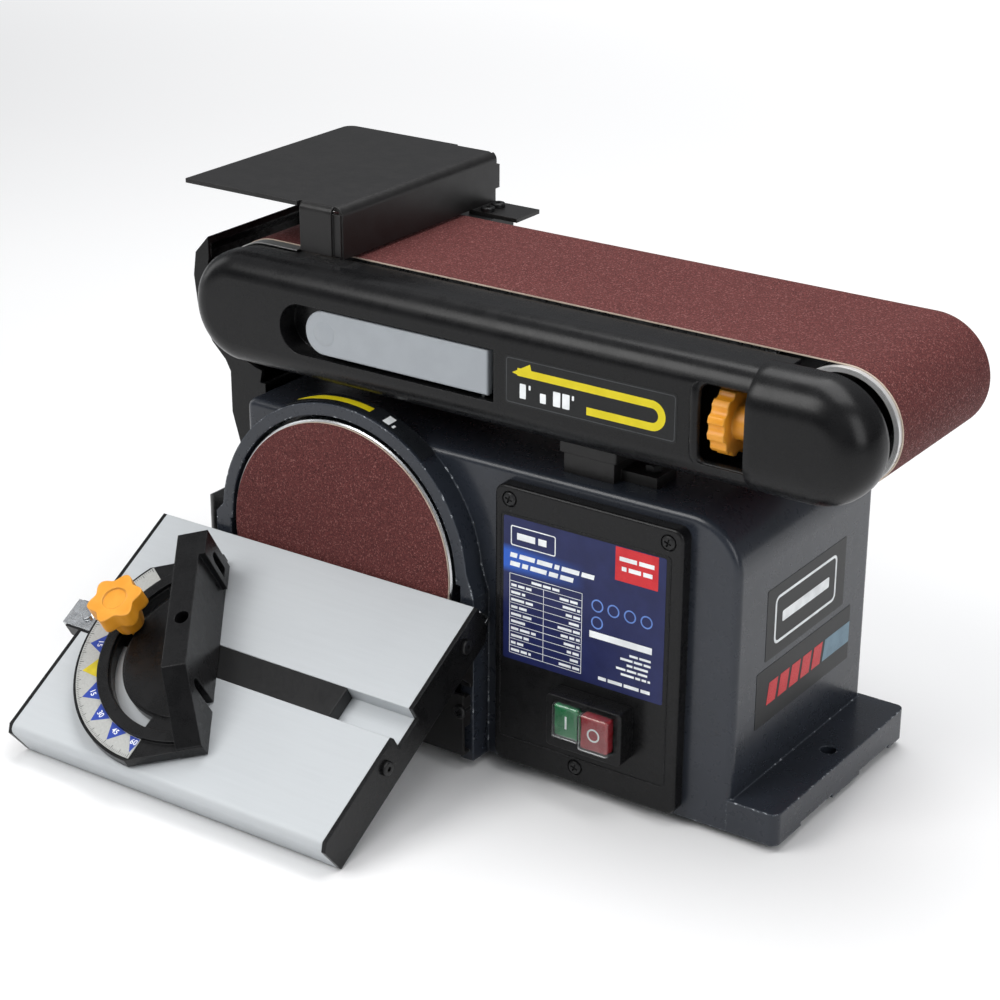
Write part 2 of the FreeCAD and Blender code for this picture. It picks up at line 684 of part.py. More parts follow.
# ================================================================ disc
# plate with its hub; the set screw goes into the hub from above
SET_SCREW_Y, SET_SCREW_RAD = 14.2, 2.0
plate_front = dim.disc_thick + 0.02
plate_back = plate_front + dim.plate_thick
web_back = plate_front + 5.0
body = turned_body("disc_plate", [
    (0, plate_front), (dim.plate_rad - 0.8, plate_front), (dim.plate_rad, plate_front + 0.8),
    (dim.plate_rad, plate_back), (dim.plate_rad - 5.0, plate_back),
    (dim.plate_rad - 9.0, web_back), (22.0, web_back), (16.0, plate_front + 8.0),
    (16.0, 17.6), (shaft_bore, 17.6), (shaft_bore, 10.0), (0, 10.0)])
pocket(body, "xy", 7.0, 12.0, circle(0, SET_SCREW_Y, dim.fit_gap + SET_SCREW_RAD))
finish("disc_plate", body)
finish("abrasive_disc", group(cylinder("y", dim.disc_rad, 0, dim.disc_thick)))
finish_solid("disc_set_screw",
             Part.makeCylinder(SET_SCREW_RAD, 7.4, Vector(0, SET_SCREW_Y, 8.1), Z_AXIS))

# ================================================================ belt drive
MOTOR_AXIS = (0.0, 0.0)
DRUM_AXIS = (dim.drum_x.value, dim.drum_z.value)
IDLER_AXIS = (dim.idler_x.value, dim.drum_z.value)
PULLEY_FRONT, PULLEY_BACK = 173.0, 187.0
MOTOR_PULLEY_RAD, DRUM_PULLEY_RAD = 17.2, 21.8
axle_bore = dim.axle_rad + BORE_GAP


def add_pulley(name, radius, bore, axis_x, axis_z):
    """Flat belt pulley with a 2 mm high rim at each end."""
    rim, rim_wide = radius + 2.0, 1.5
    finish(name, turned_body(name, [
        (bore, PULLEY_FRONT), (rim, PULLEY_FRONT), (rim, PULLEY_FRONT + rim_wide),
        (radius, PULLEY_FRONT + rim_wide), (radius, PULLEY_BACK - rim_wide),
        (rim, PULLEY_BACK - rim_wide), (rim, PULLEY_BACK), (bore, PULLEY_BACK)]),
        axis_x=axis_x, axis_z=axis_z)


add_pulley("motor_pulley", MOTOR_PULLEY_RAD, shaft_bore, 0, 0)
add_pulley("drum_pulley", DRUM_PULLEY_RAD, axle_bore, dim.drum_x, dim.drum_z)
finish_solid("drive_belt", band(
    MOTOR_AXIS, DRUM_AXIS, MOTOR_PULLEY_RAD + 0.03, DRUM_PULLEY_RAD + 0.03,
    1.8, PULLEY_FRONT + 1.8, PULLEY_BACK - 1.8))
finish_solid("sanding_belt", band(
    DRUM_AXIS, IDLER_AXIS, dim.belt_in.value, dim.belt_in.value, dim.belt_thick.value,
    dim.belt_front.value, dim.belt_front.value + dim.belt_width.value))

# cover over the belt drive on the back of the machine
COVER_WALL, COVER_BACK = 2.5, 197.0
cover_seat = dim.base_back.value + SEAT_GAP
cover = hull(MOTOR_AXIS, DRUM_AXIS, 30.0, 35.0, cover_seat, COVER_BACK)
cover = cover.makeFillet(5.0, [edge for edge in cover.Edges
                               if abs(edge.CenterOfMass.y - COVER_BACK) < 1e-6])
for x, z in PULLEY_COVER_SCREWS:
    cover = cover.fuse(Part.makeCylinder(8.0, COVER_WALL, Vector(x, cover_seat, z), Y_AXIS))
cover = cover.cut(hull(MOTOR_AXIS, DRUM_AXIS, 30.0 - COVER_WALL, 35.0 - COVER_WALL,
                       160.0, COVER_BACK - COVER_WALL))
for x, z in PULLEY_COVER_SCREWS:
    cover = cover.cut(Part.makeCylinder(screw_clear.value, 6.0, Vector(x, 165.0, z), Y_AXIS))
    cover = cover.cut(Part.makeCylinder(head_clear.value, 40.0,
                                        Vector(x, cover_seat + COVER_WALL, z), Y_AXIS))
finish_solid("pulley_cover", cover.removeSplitter())

# ================================================================ bracket, arm rest, bolts
# bracket on the base that carries the arm's pivot hub
bracket = fuse(cylinder("y", 28.0, 150.0, 164.0, dim.drum_x, dim.drum_z),
               box(-98.0, 150.0, 70.1, -46.0, 164.0, 127.0),
               box(-78.0, 149.0, 70.1, -6.0, 165.0, 80.0))
bracket = cut(bracket, cylinder("y", 20.05, 149.0, 166.0, dim.drum_x, dim.drum_z),
              *[cylinder("z", TOP_BOLT_CLEAR, 69.0, 84.0, x, y) for x, y in BRACKET_BOLTS],
              box(-67.0, 148.0, 80.2, -44.0, 166.0, 92.0),
              box(-99.0, 148.0, 69.0, -78.4, 166.0, 84.0))
finish("pivot_bracket", bracket)

bolts = [hex_bolt((x, y, 80.25), (0, 0, -1), 14.0) for x, y in BRACKET_BOLTS]
bolts.append(hex_bolt((*REST_BOLT, 76.05), (0, 0, -1), 12.0))
finish_solid("hex_bolts", Part.makeCompound(bolts))

rest_seat = dim.base_top + SEAT_GAP
rest = fuse(box(131.0, 27.0, rest_seat, 162.0, 62.0, 81.4),
            box(128.0, 26.0, 81.4, 163.5, 60.0, 93.2),
            box(160.0, 34.0, rest_seat, 184.0, 54.0, 76.0))
rest = fillet(rest, 1.5, edges("z", z=(82, 94)))
finish("arm_rest", cut(rest, cylinder("z", TOP_BOLT_CLEAR, 69.0, 80.0, *REST_BOLT)))

# ================================================================ dust hood and dust box
# outlines of the hood round the drum, outside and hollow; columns are X, Z
HOOD_OUTSIDE = [
    (-119.3, 152.7), (-129.1, 142.0), (-131.2, 128.0), (-129.3, 112.0), (-125.5, 100.0),
    (-119.0, 89.5), (-109.7, 80.5), (-106.2, 74.0), (-106.1, 49.0), (-100.1, 28.4),
    (-100.1, 3.6), (-80.2, 3.6), (-80.2, 71.5), (-84.0, 71.5), (dim.drum_x, dim.drum_z),
    (-119.3, 139.0),
]
HOOD_HOLLOW = [
    (-117.4, 150.4), (-126.5, 141.0), (-128.6, 128.0), (-126.8, 112.6), (-123.2, 101.2),
    (-117.2, 91.4), (-107.9, 82.2), (-103.7, 75.0), (-103.6, 49.3), (-97.6, 28.8),
    (-97.6, 2.6), (-82.7, 2.6), (-82.7, 72.0), (-76.0, 80.0), (-60.0, 126.6), (-100.0, 150.4),
]
body = new_body("dust_hood")
hood_depth = dim.hood_back - dim.hood_front
pad(body, "xz", dim.hood_front, hood_depth, polygon(HOOD_OUTSIDE))
pocket(body, "xz", dim.hood_front + dim.hood_wall, hood_depth - dim.hood_wall * 2,
       polygon(HOOD_HOLLOW))
pocket(body, "xz", dim.hood_front - 1.0, hood_depth + 2.0, circle(dim.drum_x, dim.drum_z, 48.8))
finish("dust_hood", body)

# box beside the base, with the round outlet on its left
dust_box = fillet(box(-113.0, 16.0, -82.0, -91.1, 150.0, 3.5), 8.0,
                  edges(x=(-114, -112)), edges("x", z=(-83, -81)))
step_block = fillet(box(-104.0, 24.0, -82.0, -80.2, 150.0, 3.5), 8.0,
                    edges("x", y=(149, 151), z=(-83, -81)))
dust_box = fuse(dust_box, step_block)
hollow = fuse(fillet(box(-110.5, 18.5, -79.5, -93.6, 147.5, 1.0), 5.5,
                     edges(x=(-111, -110)), edges("x", z=(-80, -79))),
              fillet(box(-104.0, 26.5, -79.5, -82.7, 147.5, 1.0), 5.5,
                     edges("x", y=(147, 148), z=(-80, -79))))
outlet = cylinder("x", dim.outlet_rad, -148.0, -112.0, dim.outlet_y, dim.outlet_z)
outlet_bore = cylinder("x", dim.outlet_rad - dim.hood_wall, -149.0, -110.0,
                       dim.outlet_y, dim.outlet_z)
dust_box = cut(fuse(dust_box, outlet), hollow, outlet_bore,
               box(-97.6, 38.5, 0.0, -82.7, 137.5, 5.0),
               *[cylinder("x", screw_clear, -84.0, -79.0, y, z) for y, z in DUST_BOX_SCREWS])
finish("dust_box", dust_box)

# ================================================================ disc guard
guard = fuse(box(-78.0, -5.5, -62.0, 78.0, -3.9, -28.0),
             box(-88.6, -5.5, -99.0, 88.6, -3.9, -62.0),
             box(-88.6, -5.5, -99.0, 88.6, 0.5, -97.4),
             box(-88.6, -3.95, -82.0, -83.4, 1.45, -64.0),
             box(83.8, -3.95, -82.0, 88.6, 1.45, -64.0))
finish("disc_guard", cut(guard, *[cylinder("y", screw_clear, -7.0, 3.0, x, z)
                                  for x, z in GUARD_SCREWS]))

# ================================================================ table supports
# Two plates on the shroud. Pins at one radius from the table's hinge line run in
# the trunnion slots; the clamp lever's screw takes the place of the left front pin.
PIN_CIRCLE = 15.0
PIN_ANGLES = [-86.0, -105.5]
PLATE_OUTLINE = [(1.4, -14.0), (1.4, -58.0), (-8.0, -50.0), (-20.0, -36.0), (-12.0, -25.0)]  # Y, Z


def pin_centre(x, degrees):
    angle = math.radians(degrees)
    return Vector(x, dim.table_y.value + PIN_CIRCLE * math.cos(angle),
                  dim.table_z.value + PIN_CIRCLE * math.sin(angle))


def table_support(left, right, tab_left, tab_right, outside, pin_tip):
    plate = prism([Vector(left, y, z) for y, z in PLATE_OUTLINE], Vector(right - left, 0, 0))
    tab = Part.makeBox(tab_right - tab_left, 2.4, 44.0, Vector(tab_left, -1.0, -58.0))
    plate = plate.fuse(tab).removeSplitter()
    for x, z in SUPPORT_SCREWS:
        plate = plate.cut(Part.makeCylinder(screw_clear.value, 8.0, Vector(x, -4.0, z), Y_AXIS))
    side = -1 if outside < 0 else 1
    for angle in PIN_ANGLES:
        if side < 0 and angle == PIN_ANGLES[0]:
            plate = plate.cut(Part.makeCylinder(2.5, 10.0, pin_centre(-93.0, angle), X_AXIS))
        else:
            plate = plate.fuse(Part.makeCylinder(2.2, abs(pin_tip - outside) + 1.0,
                                                 pin_centre(outside - side, angle),
                                                 Vector(side, 0, 0)))
    return plate.removeSplitter()


finish_solid("table_supports", Part.makeCompound([
    table_support(-91.4, -88.6, -91.4, -79.9, outside=-91.4, pin_tip=-95.9),
    table_support(88.8, 90.4, 79.6, 90.4, outside=90.4, pin_tip=93.2)]))

# ================================================================ power cord
# points on the cord's centre line; columns are X, Y, Z
CORD_POINTS = [
    (200, 152, -72), (200, 172, -72), (199, 196, -76), (194, 212, -90), (184, 218, -98.5),
    (170, 219.5, -100.8), (145, 217, -101), (120, 214, -101), (60, 206, -101),
    (10, 214, -101), (-30, 222, -101),
]
course = Part.BSplineCurve()
course.interpolate([Vector(*point) for point in CORD_POINTS])
section = Part.Wire([Part.makeCircle(3.6, Vector(*CORD_POINTS[0]),
                                     course.tangent(course.FirstParameter)[0])])
finish_solid("power_cord", Part.Wire([course.toShape()]).makePipeShell([section], True, True))
grip = fuse(cylinder("y", 6.0, 158.0, 170.0, 200.0, -72.0),
            cylinder("y", 8.5, dim.base_back + SEAT_GAP, 169.0, 200.0, -72.0))
finish("cord_grip", cut(grip, cylinder("y", 4.3, 157.0, 172.0, 200.0, -72.0)))

# ================================================================ arm frame
FRAME_FRONT, FRAME_BACK = 30.6, 141.4
frame_back_in = FRAME_BACK - 0.1
body = new_body("arm_frame")
pad(body, "xz", FRAME_FRONT, FRAME_BACK - FRAME_FRONT, rect(-34.0, 101.0, 246.0, 152.0))
# front cheek, back cheek and pivot hub
pad(body, "xz", FRAME_FRONT, 4.4, stadium(dim.drum_x, 205.0, dim.drum_z, 27.0))
pad(body, "xz", frame_back_in, 5.7, stadium(dim.drum_x, 150.0, dim.drum_z, 26.0))
pad(body, "xz", 146.0, 21.0, circle(dim.drum_x, dim.drum_z, 20.0))
# recess behind the tracking knob
pocket(body, "xz", 30.0, 5.0, rect(222.0, 106.0, 250.0, 147.6))
# guide rails for the idler carriage and the pad for the work support
pad(body, "xz", frame_back_in, 8.0,
    rect(150.0, 139.6, 246.0, 146.5), rect(150.0, 106.7, 246.0, 113.4))
pad(body, "xz", frame_back_in, 25.0, rect(-18.0, 146.0, 3.0, 157.9))
# hollow inside the beam, shaft bore
bearing_bore = dim.bear_rad + BORE_GAP
pocket(body, "yz", -30.0, 272.0, rect(45.0, 105.0, 137.0, 148.0))
pocket(body, "xz", 30.0, 140.0, circle(dim.drum_x, dim.drum_z, bearing_bore))
# arm cover screw holes, with head room behind the right-hand two
pocket(body, "xz", 30.0, 5.5, circles(ARM_COVER_SCREWS, 2.1))
pocket(body, "xz", 35.0, 11.0, circles(ARM_COVER_SCREWS[1:], 4.2))
pocket(body, "xy", 150.0, 9.0, circles(WORK_SUPPORT_SCREWS, 2.05))
finish("arm_frame", body)

# ================================================================ arm cover
LEVER_PIN_RAD, LEVER_PIN_LOW, LEVER_PIN_HIGH = 1.5, 110.4, 140.4
# left part of the window round the tracking knob; columns are X, Z
WINDOW_END = [
    (233.0, 105.5), (228.5, 105.5), (226.5, 106.0), (225.0, 107.5), (224.5, 109.5),
    (224.5, 144.8), (225.0, 146.8), (226.5, 148.3), (228.5, 148.8), (233.0, 148.8),
]


def arm_stadium(radius):
    return stadium(dim.drum_x, dim.idler_x, dim.drum_z, radius)


body = new_body("arm_cover")
pad(body, "xz", dim.cover_front, 19.5, arm_stadium(dim.cover_rad))
body_fillet(body, dim.cover_round, edges(y=(0.4, 0.6)))
skirt_rad = dim.cover_rad - 1.5
pad(body, "xz", 20.0, dim.cover_back - 20.0, arm_stadium(skirt_rad))
pocket(body, "xz", dim.cover_front + dim.cover_wall, 40.0, arm_stadium(25.0))
pocket(body, "xz", 12.0, 40.0, arm_stadium(skirt_rad - dim.cover_wall + 0.5))
# pocket for the lever, with its own walls inside the shell
before_cover = dim.cover_front - 1.0
pad(body, "xz", dim.cover_front + 1.0, 14.2, rect(-42.0, 108.0, 107.0, 142.6))
pocket(body, "xz", before_cover, 14.0, stadium(-24.0, 89.5, dim.drum_z - 1.2, 14.4))
pocket(body, "xz", before_cover, 14.0, rect(60.0, 111.0, 104.0, 139.8))
# window round the tracking knob
pocket(body, "xz", before_cover, 30.0, rect(232.0, 105.5, 253.0, 148.8))
pocket(body, "xz", before_cover, 30.0, polygon(WINDOW_END))
# bosses for the screws from behind
pad(body, "xz", dim.cover_front + 2.0, 28.0, circles(ARM_COVER_SCREWS, 4.4))
pocket(body, "xz", 16.0, 20.0, circles(ARM_COVER_SCREWS, 2.02))
# the cap over the idler stops short of the roller's end
pocket(body, "xz", 22.0, 18.0, rect(262.0, 90.0, 322.0, 162.0))
# holes for the lever pin
pocket(body, "xy", LEVER_PIN_LOW - 0.2, 30.4,
       circle(dim.lever_pin_x, dim.lever_pin_y, LEVER_PIN_RAD + 0.02))
finish("arm_cover", body)
finish_solid("arm_cover_screws", Part.makeCompound(
    [socket_screw((x, 35.05, z), (0, -1, 0), 14.0, head_radius=3.6, head_height=1.9)
     for x, z in ARM_COVER_SCREWS]))

# ================================================================ platen
# plate under the belt's upper run, on three feet
platen = box(-34.0, dim.belt_front + 0.9, 155.4, 246.0, dim.belt_front + dim.belt_width - 2.0,
             dim.drum_z + dim.belt_in - 0.12)
feet = [box(x, 46.0, 152.05, x + 8.0, 130.0, 155.5) for x in (-30.0, 102.0, 234.0)]
finish("platen", fillet(fuse(platen, *feet), 1.2, edges("y", z=(157.0, 158.5))))

# ================================================================ drive drum
body = turned_body("drive_drum", [
    (axle_bore, 60.0), (14.0, 60.0), (14.0, 84.0), (28.2, 84.0), (28.2, dim.roller_front),
    (dim.roller_rad, dim.roller_front), (dim.roller_rad, dim.roller_back),
    (28.2, dim.roller_back), (28.2, 92.0), (14.0, 92.0), (14.0, 120.0), (axle_bore, 120.0)])
finish("drive_drum", body, axis_x=dim.drum_x, axis_z=dim.drum_z)
finish("drum_shaft", group(cylinder("y", dim.axle_rad, 29.0, 190.0, dim.drum_x, dim.drum_z)))


def roller_bearing(front, axis_x, width=dim.bear_width):
    return ring(dim.bear_rad, dim.axle_rad + RACE_GAP, front, width + front, axis_x, dim.drum_z)


finish("drum_bearings", group(roller_bearing(31.0, dim.drum_x, Length(4.0)),
                              roller_bearing(143.0, dim.drum_x),
                              roller_bearing(158.0, dim.drum_x)))

# ================================================================ idler
body = turned_body("idler_roller", [
    (bearing_bore, 44.0), (18.0, 44.0), (18.0, 58.0), (28.6, 58.0), (28.6, dim.roller_front),
    (dim.roller_rad, dim.roller_front), (dim.roller_rad, dim.roller_back),
    (28.6, dim.roller_back), (28.6, 120.0), (18.0, 120.0), (18.0, 134.0), (bearing_bore, 134.0),
    (bearing_bore, 124.0), (11.0, 124.0), (11.0, 54.0), (bearing_bore, 54.0)])
finish("idler_roller", body, axis_x=dim.idler_x, axis_z=dim.drum_z)
finish("idler_bearings", group(roller_bearing(45.0, dim.idler_x),
                               roller_bearing(125.0, dim.idler_x)))
finish("idler_axle", group(cylinder("y", dim.axle_rad, 23.0, 148.5, dim.idler_x, dim.drum_z)))

# carriage: slide between the rails at the back, block at the front
slide = cut(box(215.0, 141.8, 113.7, 299.0, 149.0, 139.3),
            cylinder("y", axle_bore, 140.0, 151.0, dim.idler_x, dim.drum_z))
slide = fillet(slide, 8.0, edges("y", x=(298, 300)))
block = cut(fuse(box(264.0, 20.0, 116.0, 296.0, 30.4, 137.2),
                 box(256.0, 6.5, 119.0, 270.0, 30.4, 134.2)),
            cylinder("y", axle_bore, 19.0, 32.0, dim.idler_x, dim.drum_z),
            cylinder("x", 4.04, 255.0, 272.0, dim.knob_y, dim.drum_z))
finish("idler_carriage", group(slide, block))

# tension spring behind the frame
SPRING_PITCH, SPRING_LONG, SPRING_RAD, WIRE_RAD = 4.4, 33.0, 3.0, 0.6
wire = Part.Wire([Part.makeCircle(WIRE_RAD, Vector(SPRING_RAD, 0, 0), Y_AXIS)])
helix = Part.makeHelix(SPRING_PITCH, SPRING_LONG, SPRING_RAD)
spring = Part.Wire(helix.Edges).makePipeShell([wire], True, True)
finish_solid("tension_spring", aim(spring, (177.5, 145.4, dim.drum_z.value), (1, 0, 0)))

# ================================================================ tension lever
lever_z = dim.drum_z - 0.6


def draw_lever(profile):
    """Lever outline: round at the free end, square at the hinge."""
    centre_x = dim.lever_left + dim.lever_rad
    left, right = centre_x.value, dim.lever_right.value
    half = dim.lever_rad.value
    high, low = lever_z.value + half, lever_z.value - half
    top = add_line(profile, left, high, right, high)
    end = add_line(profile, right, high, right, low)
    bottom = add_line(profile, right, low, left, low)
    nose = add_arc(profile, left, lever_z.value, half, math.pi / 2, 3 * math.pi / 2)
    for spec in (("Coincident", top, 2, end, 1), ("Coincident", end, 2, bottom, 1),
                 ("Tangent", bottom, 2, nose, 2), ("Tangent", nose, 1, top, 1),
                 ("Horizontal", top), ("Vertical", end)):
        profile.addConstraint(Sketcher.Constraint(*spec))
    add_driven(profile, dim.lever_rad, "Radius", nose)
    pin_point(profile, nose, 3, centre_x, lever_z)
    add_driven(profile, dim.lever_right, "DistanceX", -1, 1, end, 1)


body = new_body("tension_lever")
pad(body, "xz", dim.cover_front + 0.6, 5.0, draw_lever)
body_fillet(body, 1.2, edges(y=(1.0, 1.2)))
pad(body, "xz", dim.cover_front + 5.0, 5.0, rect(86.0, lever_z - 11.0, 99.0, lever_z + 11.0))
pocket(body, "xy", 100.0, 50.0,
       circle(dim.lever_pin_x, dim.lever_pin_y, LEVER_PIN_RAD + 0.04))
finish("tension_lever", body)
finish("lever_pin", group(cylinder("z", LEVER_PIN_RAD, LEVER_PIN_LOW, LEVER_PIN_HIGH,
                                   dim.lever_pin_x, dim.lever_pin_y)))

# ================================================================ tracking knob and its screw
TRACKING_SCREW_RAD = 4.0
SCALLOPS = 12
knob = Part.makeCylinder(dim.knob_rad.value, 9.0)
scallop_circle = dim.knob_rad.value + 1.9
for k in range(SCALLOPS):
    angle = 2 * math.pi * k / SCALLOPS
    knob = knob.cut(Part.makeCylinder(3.6, 15.0, Vector(
        scallop_circle * math.cos(angle), scallop_circle * math.sin(angle), -1)))
knob = knob.fuse(Part.makeCylinder(9.0, 11.5, Vector(0, 0, 8.5)))
knob = knob.cut(Part.makeCylinder(TRACKING_SCREW_RAD + BORE_GAP, 30.0, Vector(0, 0, 4.0)))
knob = aim(knob, (dim.knob_left.value, dim.knob_y.value, dim.drum_z.value), (1, 0, 0))
finish_solid("tracking_knob", knob.removeSplitter())
finish("tracking_screw", group(cylinder("x", TRACKING_SCREW_RAD, dim.knob_left + 4.5, 269.5,
                                        dim.knob_y, dim.drum_z)))

# ================================================================ work support
# one sheet bent into top, stop face, front leg and rear foot
thick, stop_x, top_z = dim.sheet_thick, dim.support_x, dim.support_top
sheet_low = top_z - thick
stop_in = stop_x - thick
LEG_FRONT, FOOT_Z = 21.4, 158.0
stop_bend = fillet(fuse(box(-60.0, 24.6, sheet_low, stop_x, 170.5, top_z),
                        box(stop_in, 24.6, 160.8, stop_x, 173.5, top_z)),
                   5.0, edges("y", x=(-12.1, -11.9), z=(189.9, 190.1)))
leg = fillet(fuse(box(-39.3, LEG_FRONT, 162.6, -17.7, thick + LEG_FRONT, top_z),
                  box(-39.3, LEG_FRONT, sheet_low, -17.7, 60.0, top_z)),
             4.0, edges("x", y=(21.3, 21.5), z=(189.9, 190.1)))
top_sheet = fillet(box(-121.0, LEG_FRONT, sheet_low, -41.0, 170.5, top_z),
                   6.0, edges("z", x=(-122, -120), y=(170, 171)))
work_support = fuse(stop_bend, leg, top_sheet,
                    box(stop_in, 146.0, FOOT_Z, 19.0, 169.5, thick + FOOT_Z),
                    box(stop_in, 146.0, FOOT_Z, stop_x, 169.5, 164.0),
                    box(-19.0, 23.0, 162.6, stop_x - 0.6, 24.9, top_z - 4.0))
work_support = cut(work_support,
                   box(stop_in - 1.0, 170.5, 182.0, stop_x + 1.0, 175.0, top_z + 1.0),
                   box(-40.0, 168.6, top_z - 5.0, stop_in, 172.0, top_z + 1.0),
                   box(stop_in - 1.0, 169.5, 157.0, stop_x + 1.0, 175.0, 168.0),
                   *[cylinder("z", 2.2, 155.0, 163.0, x, y) for x, y in WORK_SUPPORT_SCREWS])
finish("work_support", work_support)
finish_solid("work_support_screws", Part.makeCompound(
    [socket_screw((x, y, 160.55), (0, 0, -1), 9.5, radius=2.0, head_height=2.6)
     for x, y in WORK_SUPPORT_SCREWS]))

# ================================================================ table (table frame)
END_SCREWS = [(-19.3, -9.5), (-102.0, -8.6)]  # Y, Z
TABLE_SCREW_HOLE = 2.0
table_right = dim.table_left + dim.table_wide
slot_rear = -(dim.slot_d - dim.slot_wide / 2)
slot_front = -(dim.slot_d + dim.slot_wide / 2)
slot_floor = -(dim.bar_high + 0.3)
under_top, under_slot = -dim.table_thick, -(dim.bar_high + 5.0)
apron_low = -dim.apron_high
# top from the rear edge across the mitre slot; columns are Y, Z
SLOTTED_TOP = [(0, 0), (slot_rear, 0), (slot_rear, slot_floor), (slot_front, slot_floor),
               (slot_front, 0)]

body = new_body("table_top")
plate_left = dim.table_left + dim.end_thick + 0.02
plate_right = table_right - dim.end_thick - 0.02
pad(body, "yz", plate_left, plate_right - plate_left, polygon(SLOTTED_TOP + [
    (-dim.table_deep, 0), (-(dim.table_deep - 3.0), apron_low),
    (-(dim.table_deep - 8.0), apron_low), (-(dim.table_deep - 9.0), under_top),
    (slot_front - 5.0, under_top), (slot_front - 5.0, under_slot),
    (slot_rear + 5.0, under_slot), (slot_rear + 5.0, under_top), (-5.2, under_top), (0, -0.8)]))
body_fillet(body, 5.0, edges("x", y=(-160.5, -159.5), z=(-0.1, 0.1)))
body_fillet(body, 0.5, edges("x", y=(-90, -68), z=(-0.1, 0.1)))
# end ribs under the table that take the end plate screws
rib_low = apron_low + 3.0
rib_high = dim.apron_high - 7.0
left_rib_in = dim.table_left + dim.end_thick + 8.0
right_rib_in = table_right - dim.end_thick - 8.0
pad(body, "xy", rib_low, rib_high,
    rect(plate_left, -151.6, left_rib_in, slot_front - 4.0),
    rect(right_rib_in, -151.6, plate_right, slot_front - 4.0))
pad(body, "xy", rib_low, rib_high, rect(plate_left, slot_rear + 4.0, left_rib_in, -12.0))
pocket(body, "yz", dim.table_left + dim.end_thick, 7.0, circles(END_SCREWS, TABLE_SCREW_HOLE))
pocket(body, "yz", table_right - dim.end_thick - 7.0, 7.0,
       circles(END_SCREWS[1:], TABLE_SCREW_HOLE))
finish("table_top", body, "table")


def end_plate(name, left):
    body = new_body(name)
    pad(body, "yz", left, dim.end_thick, polygon(SLOTTED_TOP + [
        (-(dim.table_deep - 4.0), 0), (-dim.table_deep, -4.0),
        (-(dim.table_deep - 3.0), apron_low), (-6.0, apron_low), (0, apron_low + 6.0)]))
    pocket(body, "yz", left - 1.0, 5.0, circles(END_SCREWS, 2.1))
    return body


finish("table_end_plates", group(end_plate("end_plate_l", dim.table_left),
                                 end_plate("end_plate_r", table_right - dim.end_thick)), "table")
left_seat, right_seat = dim.table_left.value - 0.03, table_right.value + 0.03
screws = [socket_screw((left_seat, y, z), (1, 0, 0), 8.5) for y, z in END_SCREWS]
screws += [socket_screw((right_seat, y, z), (-1, 0, 0), length)
           for (y, z), length in zip(END_SCREWS, (5.2, 8.5))]
finish_solid("end_plate_screws", Part.makeCompound(screws), "table")


def sector(low, high, left, right):
    """Pie slice about the hinge line, angles in the YZ plane."""
    radius, steps = 60.0, 16
    points = [Vector(left, 0, 0)]
    for k in range(steps + 1):
        angle = math.radians(low + (high - low) * k / steps)
        points.append(Vector(left, radius * math.cos(angle), radius * math.sin(angle)))
    return prism(points, Vector(right - left, 0, 0))


def trunnion(left, right, has_ear):
    """Plate under the table whose curved slot runs on the support's pins."""
    thick = right - left
    slot_half = 2.6

    def rod(radius, overrun=0.0, y=0.0, z=0.0):
        return Part.makeCylinder(radius, thick + 2 * overrun, Vector(left - overrun, y, z), X_AXIS)

    plate = rod(20.0).common(sector(-180.0, -70.0, left - 1, right + 1))
    if has_ear:
        plate = plate.fuse(rod(4.2, 0.0, *END_SCREWS[0]))
    plate = plate.cut(Part.makeBox(thick + 2, 60.0, 60.0,
                                   Vector(left - 1, -40.0, under_top.value - SEAT_GAP)))
    slot = rod(PIN_CIRCLE + slot_half, 1.0).cut(rod(PIN_CIRCLE - slot_half, 2.0))
    plate = plate.cut(slot.common(sector(-164.0, -74.0, left - 2, right + 2)))
    plate = plate.cut(rod(8.0, 1.0))
    if has_ear:
        plate = plate.cut(rod(TABLE_SCREW_HOLE, 1.0, *END_SCREWS[0]))
    return plate.removeSplitter()


finish_solid("table_trunnions", Part.makeCompound(
    [trunnion(-95.4, -92.4, False), trunnion(91.0, 93.6, True)]), "table")

# clamp lever of the table, on the left (disc frame)
HANDLE_LONG = 42.0
handle_way = Vector(-0.25, -0.30, -0.92)
handle_root = pin_centre(-102.0, PIN_ANGLES[0])
clamp = Part.makeCylinder(2.3, 9.0, pin_centre(-97.9, PIN_ANGLES[0]), X_AXIS)
clamp = clamp.fuse(Part.makeCylinder(4.6, 9.0, pin_centre(-106.0, PIN_ANGLES[0]), X_AXIS))
clamp = clamp.fuse(Part.makeCone(3.4, 4.6, HANDLE_LONG, handle_root, handle_way))
handle_tip = handle_root + Vector(handle_way).normalize() * HANDLE_LONG
clamp = clamp.fuse(Part.makeSphere(4.9, handle_tip))
finish_solid("table_clamp_lever", clamp.removeSplitter())

# ================================================================ mitre gauge
# bar and pointer (table frame)
slot_y = -dim.slot_d.value
star_x = dim.mitre_x - dim.star_dist
body = new_body("mitre_bar")
pad(body, "yz", -139.5, 192.5,
    rect(-(dim.slot_d + dim.bar_wide / 2), -dim.bar_high,
         -(dim.slot_d - dim.bar_wide / 2), -0.15))
body_fillet(body, 0.8, edges(x=(-139.6, -139.4)), edges(x=(52.9, 53.1)))
pocket(body, "xy", -12.0, 14.0, circles([(dim.mitre_x, -dim.slot_d), (star_x, -dim.slot_d)], 3.05))
finish("mitre_bar", body, "table")
pointer = Part.makeBox(27.0, 17.0, 1.4, Vector(-141.0, slot_y - 8.5, -0.1))
pointer = pointer.fuse(Part.makeBox(1.4, 17.0, 7.0, Vector(-141.0, slot_y - 8.5, -5.7)))
pointer = pointer.fuse(Part.makeCylinder(3.4, 2.0, Vector(-128.0, slot_y, 1.2)))
finish_solid("mitre_pointer", pointer.removeSplitter(), "table")


